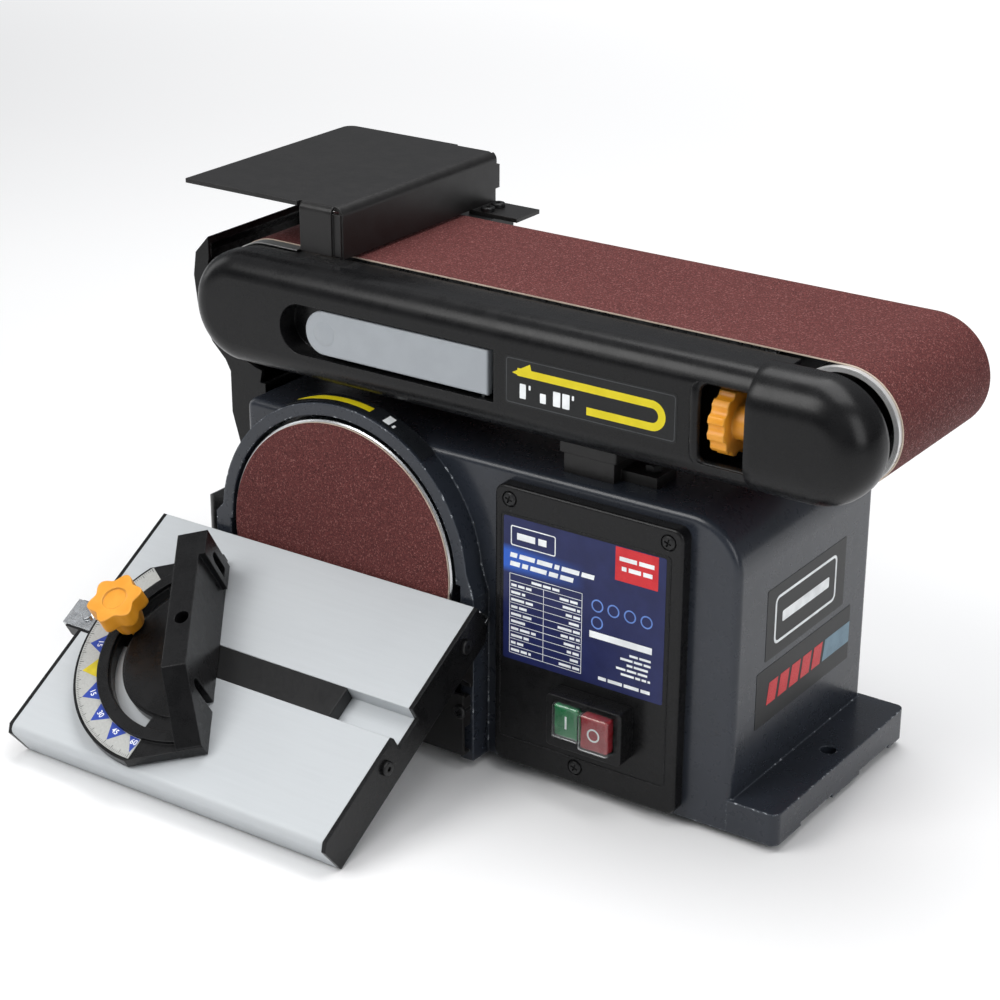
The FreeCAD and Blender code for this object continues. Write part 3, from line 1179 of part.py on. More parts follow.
# swivelling head (mitre frame): X along the fence, -Y towards the star knob
def draw_arc_slot(profile):
    """Arc slot for the clamp screw; its ends meet by position, without constraints."""
    outer, inner = 54.6, 47.6
    start, end = math.radians(-90 - 62), math.radians(-90 + 58)
    for radius in (outer, inner):
        add_arc(profile, 0, 0, radius, start, end)
    for angle in (start, end):
        x, y = math.cos(angle), math.sin(angle)
        add_line(profile, outer * x, outer * y, inner * x, inner * y)


def arch(centre_x, top):
    """Upright slot with a round top."""
    half = 3.25
    crown = [math.radians(degrees) for degrees in range(0, 181, 30)]
    return polygon([(centre_x + half * math.cos(angle), top - half + half * math.sin(angle))
                    for angle in crown] + [(centre_x - half, 10.4), (centre_x + half, 10.4)])


body = new_body("mitre_head")
pad(body, "xy", 1.6, 6.0, circle(0, 0, dim.mitre_rad))
pocket(body, "xy", 0.6, 9.0, rect(-90.0, 6.5, 90.0, 90.0))
pocket(body, "xy", 0.6, 9.0, rect(66.5, -90.0, 90.0, 20.0), rect(-90.0, -90.0, -66.5, 20.0))
# raised ring and centre boss
pad(body, "xy", 6.0, 4.0, circle(0, 0, 62.0), circle(0, 0, 55.5))
pad(body, "xy", 6.0, 3.0, circle(0, 0, 46.0))
pocket(body, "xy", 0.6, 12.0, rect(-90.0, 6.3, 90.0, 90.0))
# fence, thicker at its -X end, with the top corner cut off at the other
pad(body, "yz", -59.4, 125.4, polygon([(-8.5, 0.4), (6.6, 0.4), (5.7, 38.0), (-8.5, 38.0)]))
pad(body, "xy", 4.5, 33.5, rect(-59.4, 2.0, -43.0, 9.4))
pocket(body, "xz", -12.0, 30.0,
       polygon([(32.0, 38.2), (66.2, 9.0), (70.0, 9.0), (70.0, 42.0), (32.0, 42.0)]))
# arc slot, swivel hole, arched slots through the fence
pocket(body, "xy", 0.0, 9.0, draw_arc_slot)
pocket(body, "xy", 0.0, 40.0, circle(0, 0, 4.2))
pocket(body, "xz", -12.0, 30.0, arch(-50.0, 28.0))
pocket(body, "xz", -12.0, 30.0, arch(35.0, 26.0))
# the +X slot runs on down through the front of the fence's foot
pocket(body, "xz", -2.0, 20.0, rect(31.75, -1.0, 38.25, 10.5))
finish("mitre_head", body, "mitre")

SCALE_HALF_ANGLE, SCALE_STEPS = 61, 12
scale = Part.makeCylinder(75.2, 0.5, Vector(0, 0, 7.65))
scale = scale.cut(Part.makeCylinder(62.3, 2.0, Vector(0, 0, 7.0)))
fan = [Vector(0, 0, 7.0)]
for k in range(SCALE_STEPS + 1):
    angle = math.radians(-90 - SCALE_HALF_ANGLE + 2 * SCALE_HALF_ANGLE * k / SCALE_STEPS)
    fan.append(Vector(120 * math.cos(angle), 120 * math.sin(angle), 7.0))
scale = scale.common(prism(fan, Vector(0, 0, 3)))
scale = scale.common(Part.makeBox(132.4, 100, 5, Vector(-66.2, -95, 6)))
finish_solid("mitre_scale", scale, "mitre")

# swivel screw (table frame)
pivot = Part.makeCylinder(3.0, 34.0, Vector(dim.mitre_x.value, slot_y, -8.0))
pivot = pivot.fuse(Part.makeCylinder(4.05, 3.0, Vector(dim.mitre_x.value, slot_y, 23.0)))
finish_solid("mitre_pivot_screw", pivot.removeSplitter(), "table")

# star knob with its clamp screw (table frame)
STAR_LOBES, STAR_POINTS, STAR_RAD, LOBE_HIGH, STAR_TURN = 6, 72, 14.5, 1.8, 37
knob_x = star_x.value
star = []
for k in range(STAR_POINTS):
    angle = 2 * math.pi * k / STAR_POINTS
    radius = STAR_RAD + LOBE_HIGH * math.cos(STAR_LOBES * (angle - math.radians(STAR_TURN)))
    star.append(Vector(knob_x + radius * math.cos(angle), slot_y + radius * math.sin(angle), 24.0))
outline = Part.BSplineCurve()
outline.interpolate(star, PeriodicFlag=True)
knob = Part.Face(Part.Wire([outline.toShape()])).extrude(Vector(0, 0, 10.0))
knob = knob.fuse(Part.makeCone(8.0, 11.0, 13.8, Vector(knob_x, slot_y, 10.4)))
knob = knob.cut(Part.makeCylinder(7.2, 2.0, Vector(knob_x, slot_y, 33.0)))
knob = knob.fuse(Part.makeCylinder(3.0, 20.0, Vector(knob_x, slot_y, -7.5)))
finish_solid("mitre_knob", knob.removeSplitter(), "table")

# ================================================================ check and write
doc.recompute()
failed = [obj.Name for obj in doc.Objects if "Invalid" in obj.State or "Error" in obj.State]
if failed:
    raise RuntimeError("objects failed: " + ", ".join(failed))
broken = [name for name, obj in pieces.items()
          if obj.Shape.isNull() or not obj.Shape.isValid() or not obj.Shape.Solids]
if broken:
    raise RuntimeError("bad shapes: " + ", ".join(broken))
os.makedirs("parts", exist_ok=True)
for name, obj in pieces.items():
    obj.Shape.exportStep(os.path.join("parts", name + ".step"))
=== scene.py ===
# A bench belt-and-disc sander: the belt arm lies along X above the disc, and the disc, the
# sloping table and the switch panel face the front (-Y). X points right, Y back and Z up.
# Lengths are in millimetres from the centre of the disc's face, unless marked as metres.
import json
import math

import bmesh
import bpy
from mathutils import Matrix, Vector


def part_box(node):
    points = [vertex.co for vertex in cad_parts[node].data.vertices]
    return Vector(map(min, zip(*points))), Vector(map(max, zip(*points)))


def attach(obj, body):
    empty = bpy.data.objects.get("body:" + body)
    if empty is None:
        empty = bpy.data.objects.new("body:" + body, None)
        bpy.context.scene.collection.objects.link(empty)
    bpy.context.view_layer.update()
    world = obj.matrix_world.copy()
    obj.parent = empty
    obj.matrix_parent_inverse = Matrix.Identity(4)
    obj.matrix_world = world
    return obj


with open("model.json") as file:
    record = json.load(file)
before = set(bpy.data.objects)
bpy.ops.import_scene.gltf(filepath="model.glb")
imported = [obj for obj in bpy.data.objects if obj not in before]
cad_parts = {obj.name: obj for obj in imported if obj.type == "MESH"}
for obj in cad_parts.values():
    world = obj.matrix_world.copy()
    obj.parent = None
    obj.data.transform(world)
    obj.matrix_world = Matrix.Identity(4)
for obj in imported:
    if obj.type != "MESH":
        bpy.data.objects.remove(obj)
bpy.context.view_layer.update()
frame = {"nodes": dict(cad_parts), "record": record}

NODES = frame["nodes"]
SLOT_OF = {part["node"]: part["material_slot"] for part in frame["record"]["subparts"]}

# ------------------------------------------------------------------ frames and driving sizes
disc_lo, disc_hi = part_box("abrasive_disc")
ORIGIN = Vector(((disc_lo.x + disc_hi.x) / 2, disc_lo.y, (disc_lo.z + disc_hi.z) / 2))  # metres
TABLE_TILT = math.radians(30.98)
MITRE_TURN = math.radians(-60.0)
TABLE_EDGE_Y, TABLE_EDGE_Z = -2.4, -8.0  # the table's rear top edge
SWIVEL_X, SWIVEL_Y = -38.3, -79.0  # mitre swivel axis, in the table frame

DRUM_X, IDLER_X = -72.4, 285.9  # roller axes at the two ends of the belt
BELT_Z = 126.6  # height of both axes
ARM_FRONT_Y = 0.5
PANEL_Y = 8.0
BASE_RIGHT_X = 245.0


def machine(x, y, z):
    """Machine frame in millimetres to a point in metres."""
    return ORIGIN + Vector((x, y, z)) / 1000.0


def table(x, y, z):
    """Table frame: from the table's rear top edge, -Y down the slope, Z off the top."""
    c, s = math.cos(TABLE_TILT), math.sin(TABLE_TILT)
    return machine(x, TABLE_EDGE_Y + y * c - z * s, TABLE_EDGE_Z + y * s + z * c)


def mitre(x, y, z):
    """Mitre frame: from the swivel axis on the table top, X along the fence."""
    c, s = math.cos(MITRE_TURN), math.sin(MITRE_TURN)
    return table(SWIVEL_X + x * c - y * s, SWIVEL_Y + x * s + y * c, z)


def box_mm(node_name):
    """Low and high corners of a CAD piece in the machine frame."""
    return [(corner - ORIGIN) * 1000.0 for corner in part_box(node_name)]


# ------------------------------------------------------------------ shader helpers
def srgb(r, g, b):
    """Display colour, 0 to 255, as linear RGBA."""
    out = []
    for v in (r, g, b):
        v /= 255.0
        out.append(v / 12.92 if v <= 0.04045 else ((v + 0.055) / 1.055) ** 2.4)
    return tuple(out) + (1.0,)


def scaled(colour, factor):
    """Linear colour made darker or brighter."""
    return tuple(min(1.0, v * factor) for v in colour[:3]) + (1.0,)


class Shader:
    """A Principled material and short ways to add nodes to it. Textures use object space."""

    def __init__(self, name):
        self.mat = bpy.data.materials.new(name)
        self.mat.use_nodes = True
        self.tree = self.mat.node_tree
        self.tree.nodes.clear()
        out = self.add("ShaderNodeOutputMaterial")
        self.bsdf = self.add("ShaderNodeBsdfPrincipled")
        self.tree.links.new(self.bsdf.outputs[0], out.inputs[0])
        self.coords = self.add("ShaderNodeTexCoord").outputs["Object"]

    def add(self, kind, **props):
        node = self.tree.nodes.new(kind)
        for key, value in props.items():
            setattr(node, key, value)
        return node

    def put(self, socket, value):
        """Link a socket, or set a plain value."""
        if isinstance(value, bpy.types.NodeSocket):
            self.tree.links.new(value, socket)
        else:
            socket.default_value = value

    def set(self, **inputs):
        """Principled inputs by name, with underscores for spaces."""
        for key, value in inputs.items():
            self.put(self.bsdf.inputs[key.replace("_", " ")], value)

    def math(self, operation, a, b=0.0):
        node = self.add("ShaderNodeMath", operation=operation)
        self.put(node.inputs[0], a)
        self.put(node.inputs[1], b)
        return node.outputs[0]

    def vmath(self, operation, *values, out="Vector"):
        node = self.add("ShaderNodeVectorMath", operation=operation)
        for socket, value in zip(node.inputs, values):
            self.put(socket, value)
        return node.outputs[out]

    def xyz(self):
        node = self.add("ShaderNodeSeparateXYZ")
        self.put(node.inputs[0], self.coords)
        return node.outputs

    def mapping(self, scale=(1, 1, 1), rot=(0, 0, 0)):
        node = self.add("ShaderNodeMapping")
        self.put(node.inputs["Vector"], self.coords)
        node.inputs["Scale"].default_value = scale
        node.inputs["Rotation"].default_value = rot
        return node.outputs[0]

    def noise(self, scale, detail=2.0, rough=0.5, vec=None, distortion=0.0):
        node = self.add("ShaderNodeTexNoise")
        self.put(node.inputs["Vector"], vec or self.coords)
        node.inputs["Scale"].default_value = scale
        node.inputs["Detail"].default_value = detail
        node.inputs["Roughness"].default_value = rough
        node.inputs["Distortion"].default_value = distortion
        return node.outputs[0]

    def cells(self, scale):
        """Voronoi cells: three outputs, each with a random value per cell."""
        node = self.add("ShaderNodeTexVoronoi")
        self.put(node.inputs["Vector"], self.coords)
        node.inputs["Scale"].default_value = scale
        split = self.add("ShaderNodeSeparateColor")
        self.put(split.inputs[0], node.outputs["Color"])
        return split.outputs

    def remap(self, value, span=(0.3, 0.7), to=(0.0, 1.0)):
        """Clamped map from span, by default the range where noise mostly lies."""
        node = self.add("ShaderNodeMapRange", clamp=True)
        self.put(node.inputs[0], value)
        for i, limit in enumerate((*span, *to)):
            node.inputs[1 + i].default_value = limit
        return node.outputs[0]

    def mix(self, factor, a, b):
        node = self.add("ShaderNodeMix", data_type="RGBA", blend_type="MIX")
        self.put(node.inputs[0], factor)
        self.put(node.inputs[6], a)
        self.put(node.inputs[7], b)
        return node.outputs[2]

    def tint(self, colour, mask, amount, other):
        """Mix part of another colour in where the mask is set."""
        return self.mix(self.math("MULTIPLY", mask, amount), colour, other)

    def bevel(self, mm, samples=4):
        node = self.add("ShaderNodeBevel", samples=samples)
        node.inputs["Radius"].default_value = mm / 1000.0
        return node.outputs[0]

    def edges(self, rounded, span=(0.02, 0.2)):
        """Mask that is 1 on edges, from how far the rounded normal turns."""
        normal = self.add("ShaderNodeNewGeometry").outputs["Normal"]
        dot = self.vmath("DOT_PRODUCT", rounded, normal, out="Value")
        return self.remap(self.math("SUBTRACT", 1.0, dot), span=span)

    def bump(self, height, strength, mm, normal=None):
        node = self.add("ShaderNodeBump")
        node.inputs["Strength"].default_value = strength
        node.inputs["Distance"].default_value = mm / 1000.0
        self.put(node.inputs["Height"], height)
        if normal is not None:
            self.put(node.inputs["Normal"], normal)
        return node.outputs[0]


# ------------------------------------------------------------------ materials
# Noise scales are per metre; colours are 0 to 255; rough is a (low, high) pair.
def moulded(name, base, mottle, edge, rough=(0.36, 0.46), grain=2600.0, grain_mm=0.05,
            wave=70.0, wave_mm=0.08, round_mm=0.8, spec=0.5):
    """Moulded plastic or powder coat: fine grain, slow flow marks, softened edges tinted paler as
    a painted highlight.
    """
    s = Shader(name)
    slow = s.noise(scale=wave, detail=3.0, rough=0.6)
    fine = s.noise(scale=grain, detail=2.0, rough=0.6)
    rounded = s.bevel(round_mm)
    mask = s.edges(rounded)
    colour = s.mix(s.remap(slow, span=(0.35, 0.65)), srgb(*base), srgb(*mottle))
    # painted highlight: every rounded edge tinted towards the paler edge colour
    colour = s.tint(colour, mask, amount=0.55, other=srgb(*edge))
    roughness = s.math("ADD", s.remap(slow, to=rough), s.remap(fine, to=(-0.03, 0.03)))
    normal = s.bump(slow, strength=0.35, mm=wave_mm, normal=rounded)
    normal = s.bump(fine, strength=0.6, mm=grain_mm, normal=normal)
    s.set(Base_Color=colour, Roughness=roughness, Normal=normal, Specular_IOR_Level=spec,
          Coat_Weight=0.0, Coat_Roughness=0.12, Sheen_Weight=0.0)
    return s.mat


def enamel(name):
    """Thick gloss enamel over a sand casting: orange peel, edges painted paler as a highlight,
    with painted white glints in patches along them.
    """
    s = Shader(name)
    peel = s.noise(scale=190.0, detail=3.0, rough=0.55, distortion=0.3)
    fine = s.noise(scale=620.0, detail=2.0, rough=0.5)
    drip = s.noise(scale=45.0, detail=2.0, rough=0.5)
    rounded = s.bevel(mm=1.6, samples=6)
    mask = s.edges(rounded, span=(0.01, 0.25))
    colour = s.mix(s.remap(drip), srgb(37, 41, 48), srgb(41, 45, 53))
    # painted highlight: every rounded edge tinted paler
    colour = s.tint(colour, mask, amount=0.35, other=srgb(92, 100, 112))
    # painted glints: near-white highlight spots in patches along the sharpest edges
    glint = s.edges(rounded, span=(0.004, 0.10))
    patchy = s.remap(s.noise(scale=260.0, detail=3.0, rough=0.75), span=(0.57, 0.64))
    painted_glints = s.math("MULTIPLY", glint, patchy)
    colour = s.tint(colour, painted_glints, amount=0.8, other=srgb(214, 220, 226))
    normal = s.bump(drip, strength=0.25, mm=0.3, normal=rounded)
    normal = s.bump(peel, strength=0.16, mm=0.09, normal=normal)
    normal = s.bump(fine, strength=0.12, mm=0.03, normal=normal)
    s.set(Base_Color=colour, Roughness=s.remap(peel, to=(0.26, 0.31)), Normal=normal,
          Specular_IOR_Level=0.34, Coat_Weight=0.14, Coat_Roughness=0.10)
    return s.mat


def abrasive(name):
    """Brown abrasive grain: dark bond, red-brown grains, pale glints, grain-sized relief."""
    s = Shader(name)
    hit = s.cells(scale=1500.0)[0]
    fine = s.noise(scale=1300.0, detail=3.0, rough=0.75)
    broad = s.noise(scale=28.0, detail=3.0, rough=0.6)
    colour = s.mix(s.remap(fine, span=(0.36, 0.66)), srgb(58, 26, 26), srgb(122, 66, 64))
    # column 2: where the mask runs, column 3: its strength, column 4: colour mixed in
    for mask, span, to, other in (
            (hit, (0.0, 0.32), (0.55, 0.0), (46, 22, 22)),  # bond between the grains
            (hit, (0.86, 1.0), (0.0, 0.5), (164, 108, 104)),  # glints
            (broad, (0.35, 0.7), (0.0, 0.22), (98, 54, 52))):  # slow variation
        colour = s.mix(s.remap(mask, span=span, to=to), colour, srgb(*other))
    relief = s.math("ADD", fine, s.math("MULTIPLY", hit, 0.6))
    s.set(Base_Color=colour, Roughness=s.remap(hit, span=(0.8, 1.0), to=(0.78, 0.42)),
          Normal=s.bump(relief, strength=0.75, mm=0.4), Specular_IOR_Level=0.2)
    return s.mat


def metal(name, colour, rough=(0.22, 0.38), stretch=(1, 1, 1), scale=600.0, marks=0.25,
          mottling=0.0, round_mm=0.5, metallic=1.0):
    """Machined or rolled metal: drawn marks one way, patchy polish, edges tinted brighter as a
    painted highlight.
    """
    s = Shader(name)
    lines = s.noise(scale=scale, detail=4.0, rough=0.7, vec=s.mapping(scale=stretch))
    patch = s.noise(scale=60.0, detail=3.0, rough=0.6)
    rounded = s.bevel(round_mm)
    mask = s.edges(rounded)
    base = srgb(*colour)
    col = s.mix(s.remap(lines), scaled(base, factor=0.78), base)
    if mottling:
        cell = s.cells(scale=420.0)
        spangle = s.mix(cell[1], srgb(168, 172, 176), srgb(206, 200, 184))
        col = s.tint(col, cell[0], amount=mottling, other=spangle)
    # painted highlight: rounded edges tinted brighter than the base colour
    col = s.tint(col, mask, amount=0.5, other=scaled(base, factor=1.25))
    roughness = s.math("ADD", s.remap(lines, to=rough), s.remap(patch, to=(-0.04, 0.06)))
    s.set(Base_Color=col, Roughness=roughness, Metallic=metallic,
          Normal=s.bump(lines, strength=marks, mm=0.1, normal=rounded))
    return s.mat


def turned(name, colour, centre, rough=(0.20, 0.34), metallic=1.0, black_inside=0.0):
    """Face-turned metal: rings about an axis along Y, black within an optional radius."""
    s = Shader(name)
    offset = s.vmath("SUBTRACT", s.coords, tuple(centre))
    radius = s.vmath("LENGTH", s.vmath("MULTIPLY", offset, (1, 0, 1)), out="Value")
    comb = s.add("ShaderNodeCombineXYZ")
    s.put(comb.inputs[0], radius)
    rings = s.noise(scale=2400.0, detail=3.0, rough=0.8, vec=comb.outputs[0])
    patch = s.noise(scale=80.0, detail=3.0, rough=0.6)
    rounded = s.bevel(mm=0.5)
    base = srgb(*colour)
    col = s.mix(s.remap(rings), scaled(base, factor=0.72), base)
    roughness = s.math("ADD", s.remap(rings, to=rough), s.remap(patch, to=(-0.03, 0.05)))
    if black_inside:
        fade = (black_inside / 1000.0, (black_inside + 0.3) / 1000.0)
        dark = s.remap(radius, span=fade, to=(1.0, 0.0))
        col = s.mix(dark, col, s.mix(s.remap(patch), srgb(16, 16, 17), srgb(24, 24, 24)))
        metallic = s.math("SUBTRACT", 1.0, dark)
    s.set(Base_Color=col, Roughness=roughness, Metallic=metallic,
          Normal=s.bump(rings, strength=0.3, mm=0.08, normal=rounded))
    return s.mat


def table_paint(name):
    """Satin silver-grey table: faint ground lines along its length, light handling marks."""
    s = Shader(name)
    along = s.mapping(scale=(0.05, 1.0, 1.0), rot=(-TABLE_TILT, 0, 0))
    lines = s.noise(scale=420.0, detail=4.0, rough=0.7, vec=along)
    patch = s.noise(scale=14.0, detail=3.0, rough=0.55)
    speck = s.noise(scale=2200.0, detail=2.0, rough=0.6)
    rounded = s.bevel(mm=0.9)
    mask = s.edges(rounded)
    colour = s.mix(s.remap(lines), srgb(184, 188, 191), srgb(188, 192, 195))
    handled = s.remap(patch, span=(0.35, 0.7), to=(0.0, 0.3))
    colour = s.mix(handled, colour, srgb(192, 196, 198))
    # painted highlight: rounded edges tinted paler
    colour = s.tint(colour, mask, amount=0.4, other=srgb(214, 217, 219))
    roughness = s.math("ADD", s.remap(patch, to=(0.44, 0.54)),
                       s.remap(speck, to=(-0.03, 0.03)))
    normal = s.bump(lines, strength=0.10, mm=0.04, normal=rounded)
    normal = s.bump(speck, strength=0.25, mm=0.05, normal=normal)
    s.set(Base_Color=colour, Roughness=roughness, Metallic=0.05, Normal=normal)
    return s.mat


def vinyl(name, base, mottle=None, rough=0.28):
    """Printed vinyl film: even print with a slight mottle, soft clear laminate on top."""
    s = Shader(name)
    slow = s.noise(scale=120.0, detail=2.0, rough=0.5)
    fine = s.noise(scale=3200.0, detail=2.0, rough=0.6)
    mottle = mottle or [min(255, v * 1.08 + 3) for v in base]
    s.set(Base_Color=s.mix(s.remap(slow, span=(0.35, 0.65)), srgb(*base), srgb(*mottle)),
          Roughness=s.remap(fine, to=(rough - 0.03, rough + 0.07)),
          Normal=s.bump(slow, strength=0.12, mm=0.1),
          Specular_IOR_Level=0.25, Coat_Weight=0.05, Coat_Roughness=0.2)
    return s.mat


def banded_navy():
    """Navy label film with a brighter blue band behind the title, fading out to the right."""
    s = Shader("label_navy")
    pos = s.xyz()
    ends = (machine(105.9, 0, 0).x, machine(158.0, 0, 0).x)
    band_z = machine(0, 0, 21.5).z
    fade = s.remap(pos[0], span=ends, to=(1.0, 0.0))
    off = s.math("ABSOLUTE", s.math("SUBTRACT", pos[2], band_z))
    band = s.remap(off, span=(0.0045, 0.0085), to=(1.0, 0.0))  # metres from the band's middle
    slow = s.noise(scale=90.0, detail=2.0, rough=0.5)
    fine = s.noise(scale=3200.0, detail=2.0, rough=0.6)
    base = s.mix(s.remap(slow), srgb(27, 33, 76), srgb(32, 39, 86))
    s.set(Base_Color=s.mix(s.math("MULTIPLY", fade, band), base, srgb(44, 96, 196)),
          Roughness=s.remap(fine, to=(0.26, 0.36)),
          Normal=s.bump(slow, strength=0.12, mm=0.1),
          Specular_IOR_Level=0.25, Coat_Weight=0.08, Coat_Roughness=0.18)
    return s.mat


def clear_plastic():
    s = Shader("clear_plastic")
    fine = s.noise(scale=300.0, detail=2.0, rough=0.6)
    s.set(Base_Color=(0.97, 0.99, 0.98, 1.0), Roughness=s.remap(fine, to=(0.01, 0.05)),
          IOR=1.38, Normal=s.bump(fine, strength=0.08, mm=0.1), Transmission_Weight=1.0)
    return s.mat


# Material slot of the CAD: its maker and the settings
# edge: colour of the painted highlight along rounded edges
LOOKS = {
    "cast_enamel": (enamel, {}),
    "black_plastic": (moulded, dict(
        base=(15, 15, 16), mottle=(19, 19, 20), edge=(50, 50, 52), rough=(0.24, 0.32),
        spec=0.23, grain_mm=0.03, wave_mm=0.06)),
    "black_sheet": (moulded, dict(
        base=(20, 19, 19), mottle=(25, 24, 24), edge=(66, 64, 64), rough=(0.34, 0.44),
        grain=1500.0, grain_mm=0.08, wave=120.0, wave_mm=0.04, round_mm=0.7, spec=0.40)),
    "black_steel": (metal, dict(
        colour=(26, 26, 27), rough=(0.32, 0.46), scale=500.0, metallic=0.35, round_mm=0.4)),
    "black_alloy": (metal, dict(
        colour=(24, 24, 25), rough=(0.34, 0.48), scale=400.0, metallic=0.2, round_mm=0.5)),
    "rubber_black": (moulded, dict(
        base=(17, 17, 17), mottle=(22, 22, 21), edge=(37.5, 37.5, 37.5), rough=(0.55, 0.7),
        grain=1800.0, round_mm=0.4)),
    "grey_plastic": (moulded, dict(
        base=(152, 157, 162), mottle=(157, 162, 167), edge=(198, 202, 205),
        rough=(0.36, 0.44), round_mm=1.2, wave_mm=0.03)),
    "orange_plastic": (moulded, dict(
        base=(222, 146, 32), mottle=(231, 158, 46), edge=(252, 190, 84),
        rough=(0.34, 0.44), round_mm=1.5)),
    "green_plastic": (moulded, dict(
        base=(20, 112, 66), mottle=(28, 128, 76), edge=(70, 170, 120),
        rough=(0.25, 0.35), round_mm=0.6)),
    "red_plastic": (moulded, dict(
        base=(140, 22, 34), mottle=(156, 28, 40), edge=(200, 80, 88),
        rough=(0.25, 0.35), round_mm=0.6)),
    "table_metal": (table_paint, {}),
    "bare_steel": (metal, dict(colour=(176, 178, 180), stretch=(1.0, 0.08, 1.0))),
    "zinc": (metal, dict(
        colour=(214, 217, 220), rough=(0.16, 0.26), scale=200.0, marks=0.1, mottling=0.12)),
    "alloy": (metal, dict(
        colour=(196, 198, 200), rough=(0.24, 0.4), stretch=(1.0, 0.2, 1.0))),
    "abrasive": (abrasive, {}),
    "winding": (metal, dict(
        colour=(150, 84, 48), rough=(0.3, 0.45), stretch=(1, 6, 1), scale=700.0,
        metallic=0.6)),
}
MATS = {name: make(name, **settings) for name, (make, settings) in LOOKS.items()}


def dress(node_name, mat):
    """Give a CAD piece one material."""
    obj = NODES[node_name]
    for slot in obj.material_slots:
        slot.material = mat
    if not obj.material_slots:
        obj.data.materials.append(mat)


for node_name in NODES:
    dress(node_name, MATS[SLOT_OF[node_name]])

dress("disc_plate", turned("disc_plate_turned", colour=(206, 208, 210),
                           centre=machine(0, 0, 0)))
for node_name, mat_name, axis_x in (("drive_drum", "drum_turned", DRUM_X),
                                    ("idler_roller", "idler_turned", IDLER_X)):
    dress(node_name, turned(mat_name, colour=(204, 205, 206),
                            centre=machine(axis_x, 0, BELT_Z), black_inside=28.6))
dress("mitre_scale", metal("scale_plate", colour=(186, 187, 184), rough=(0.34, 0.5),
                           scale=900.0, metallic=0.35, round_mm=0.2))


# ------------------------------------------------------------------ outlines
def arc(cu, cv, r, a0, a1, n):
    """n + 1 points on an arc from a0 to a1 degrees."""
    angles = [math.radians(a0 + (a1 - a0) * k / n) for k in range(n + 1)]
    return [(cu + r * math.cos(a), cv + r * math.sin(a)) for a in angles]


def circle(cu, cv, r, n):
    return arc(cu, cv, r, 0, 360, n)[:-1]


def stadium(r, n=40):
    """The belt's run round both rollers, at radius r."""
    return (arc(IDLER_X, BELT_Z, r, -90, 90, n) + arc(DRUM_X, BELT_Z, r, 90, 270, n))


def inset(box, d):
    u0, v0, u1, v1 = box
    return (u0 + d, v0 + d, u1 - d, v1 - d)


def round_rect(box, r, steps=4):
    """Outline of the box (u0, v0, u1, v1) with corners of radius r."""
    u0, v0, u1, v1 = box
    if r <= 0:
        return [(u0, v0), (u1, v0), (u1, v1), (u0, v1)]
    pts = []
    for cu, cv, a0 in ((u1 - r, v0 + r, -90), (u1 - r, v1 - r, 0),
                       (u0 + r, v1 - r, 90), (u0 + r, v0 + r, 180)):
        pts += arc(cu, cv, r, a0, a0 + 90, steps)
    return pts


# ------------------------------------------------------------------ placing functions (u, v, h)
def on_front(y):
    """(x, z, height) on a face that looks forward at depth y."""
    return lambda x, z, h: machine(x, y - h, z)


def at_depth(x, z, y):
    return machine(x, y, z)


def on_side(y, z, h):
    """(y, z, height) on the right face of the base."""
    return machine(BASE_RIGHT_X + h, y, z)


# ------------------------------------------------------------------ mesh builder
class Piece:
    """Collects shapes in one mesh that rides on a body. Levels are (low, high) heights."""

    def __init__(self, name, mat, body, slot, place=None):
        self.name, self.mat, self.body, self.slot = name, mat, body, slot
        self.place = place
        self.bm = bmesh.new()

    def row(self, pts, h):
        return [self.bm.verts.new(self.place(u, v, h)) for u, v in pts]

    def prism(self, pts, levels):
        low, high = [self.row(pts, h) for h in levels]
        self.bm.faces.new(low)
        self.bm.faces.new(high[::-1])
        for i in range(len(pts)):
            j = (i + 1) % len(pts)
            self.bm.faces.new((low[i], high[i], high[j], low[j]))

    def rect(self, box, levels, r=0.0):
        self.prism(round_rect(box, r), levels)

    def band(self, outer, inner, levels, closed=True):
        """Ring between two outlines with the same number of points."""
        h0, h1 = levels
        rows = [self.row(*side) for side in ((outer, h0), (outer, h1), (inner, h1), (inner, h0))]
        n = len(outer)
        for k in range(4):
            r0, r1 = rows[k], rows[(k + 1) % 4]
            for i in range(n if closed else n - 1):
                j = (i + 1) % n
                self.bm.faces.new((r0[i], r0[j], r1[j], r1[i]))
        if not closed:
            for i in (0, n - 1):
                self.bm.faces.new([row[i] for row in rows])

    def ring(self, cu, cv, r_out, r_in, levels, n):
        self.band(circle(cu, cv, r_out, n), circle(cu, cv, r_in, n), levels)

    def border(self, box, width, radii, levels):
        """Rectangular frame; radii are those of its outer and inner corners."""
        self.band(round_rect(box, radii[0]), round_rect(inset(box, width), radii[1]), levels)

    def grid(self, rows, wrap=False):
        """Skin over rows of points; wrap closes each row."""
        verts = [[self.bm.verts.new(p) for p in row] for row in rows]
        n = len(verts[0])
        for near, far in zip(verts, verts[1:]):
            for j in range(n if wrap else n - 1):
                k = (j + 1) % n
                self.bm.faces.new((near[j], far[j], far[k], near[k]))
        return verts

    def tube(self, rows):
        """Skin over closed rows, with both ends capped."""
        verts = self.grid(rows, wrap=True)
        self.bm.faces.new(verts[0])
        self.bm.faces.new(verts[-1][::-1])

    def done(self, smooth=40.0):
        """Make the object; smooth is the sharp-edge angle in degrees, 0 for flat faces."""
        bmesh.ops.remove_doubles(self.bm, verts=self.bm.verts, dist=1e-7)
        bmesh.ops.recalc_face_normals(self.bm, faces=self.bm.faces)
        mesh = bpy.data.meshes.new(self.name)
        self.bm.to_mesh(mesh)
        self.bm.free()
        mesh.materials.append(self.mat)
        obj = bpy.data.objects.new(self.name, mesh)
        bpy.context.scene.collection.objects.link(obj)
        if smooth:
            mesh.shade_smooth()
            mesh.set_sharp_from_angle(angle=math.radians(smooth))
        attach(obj, self.body)


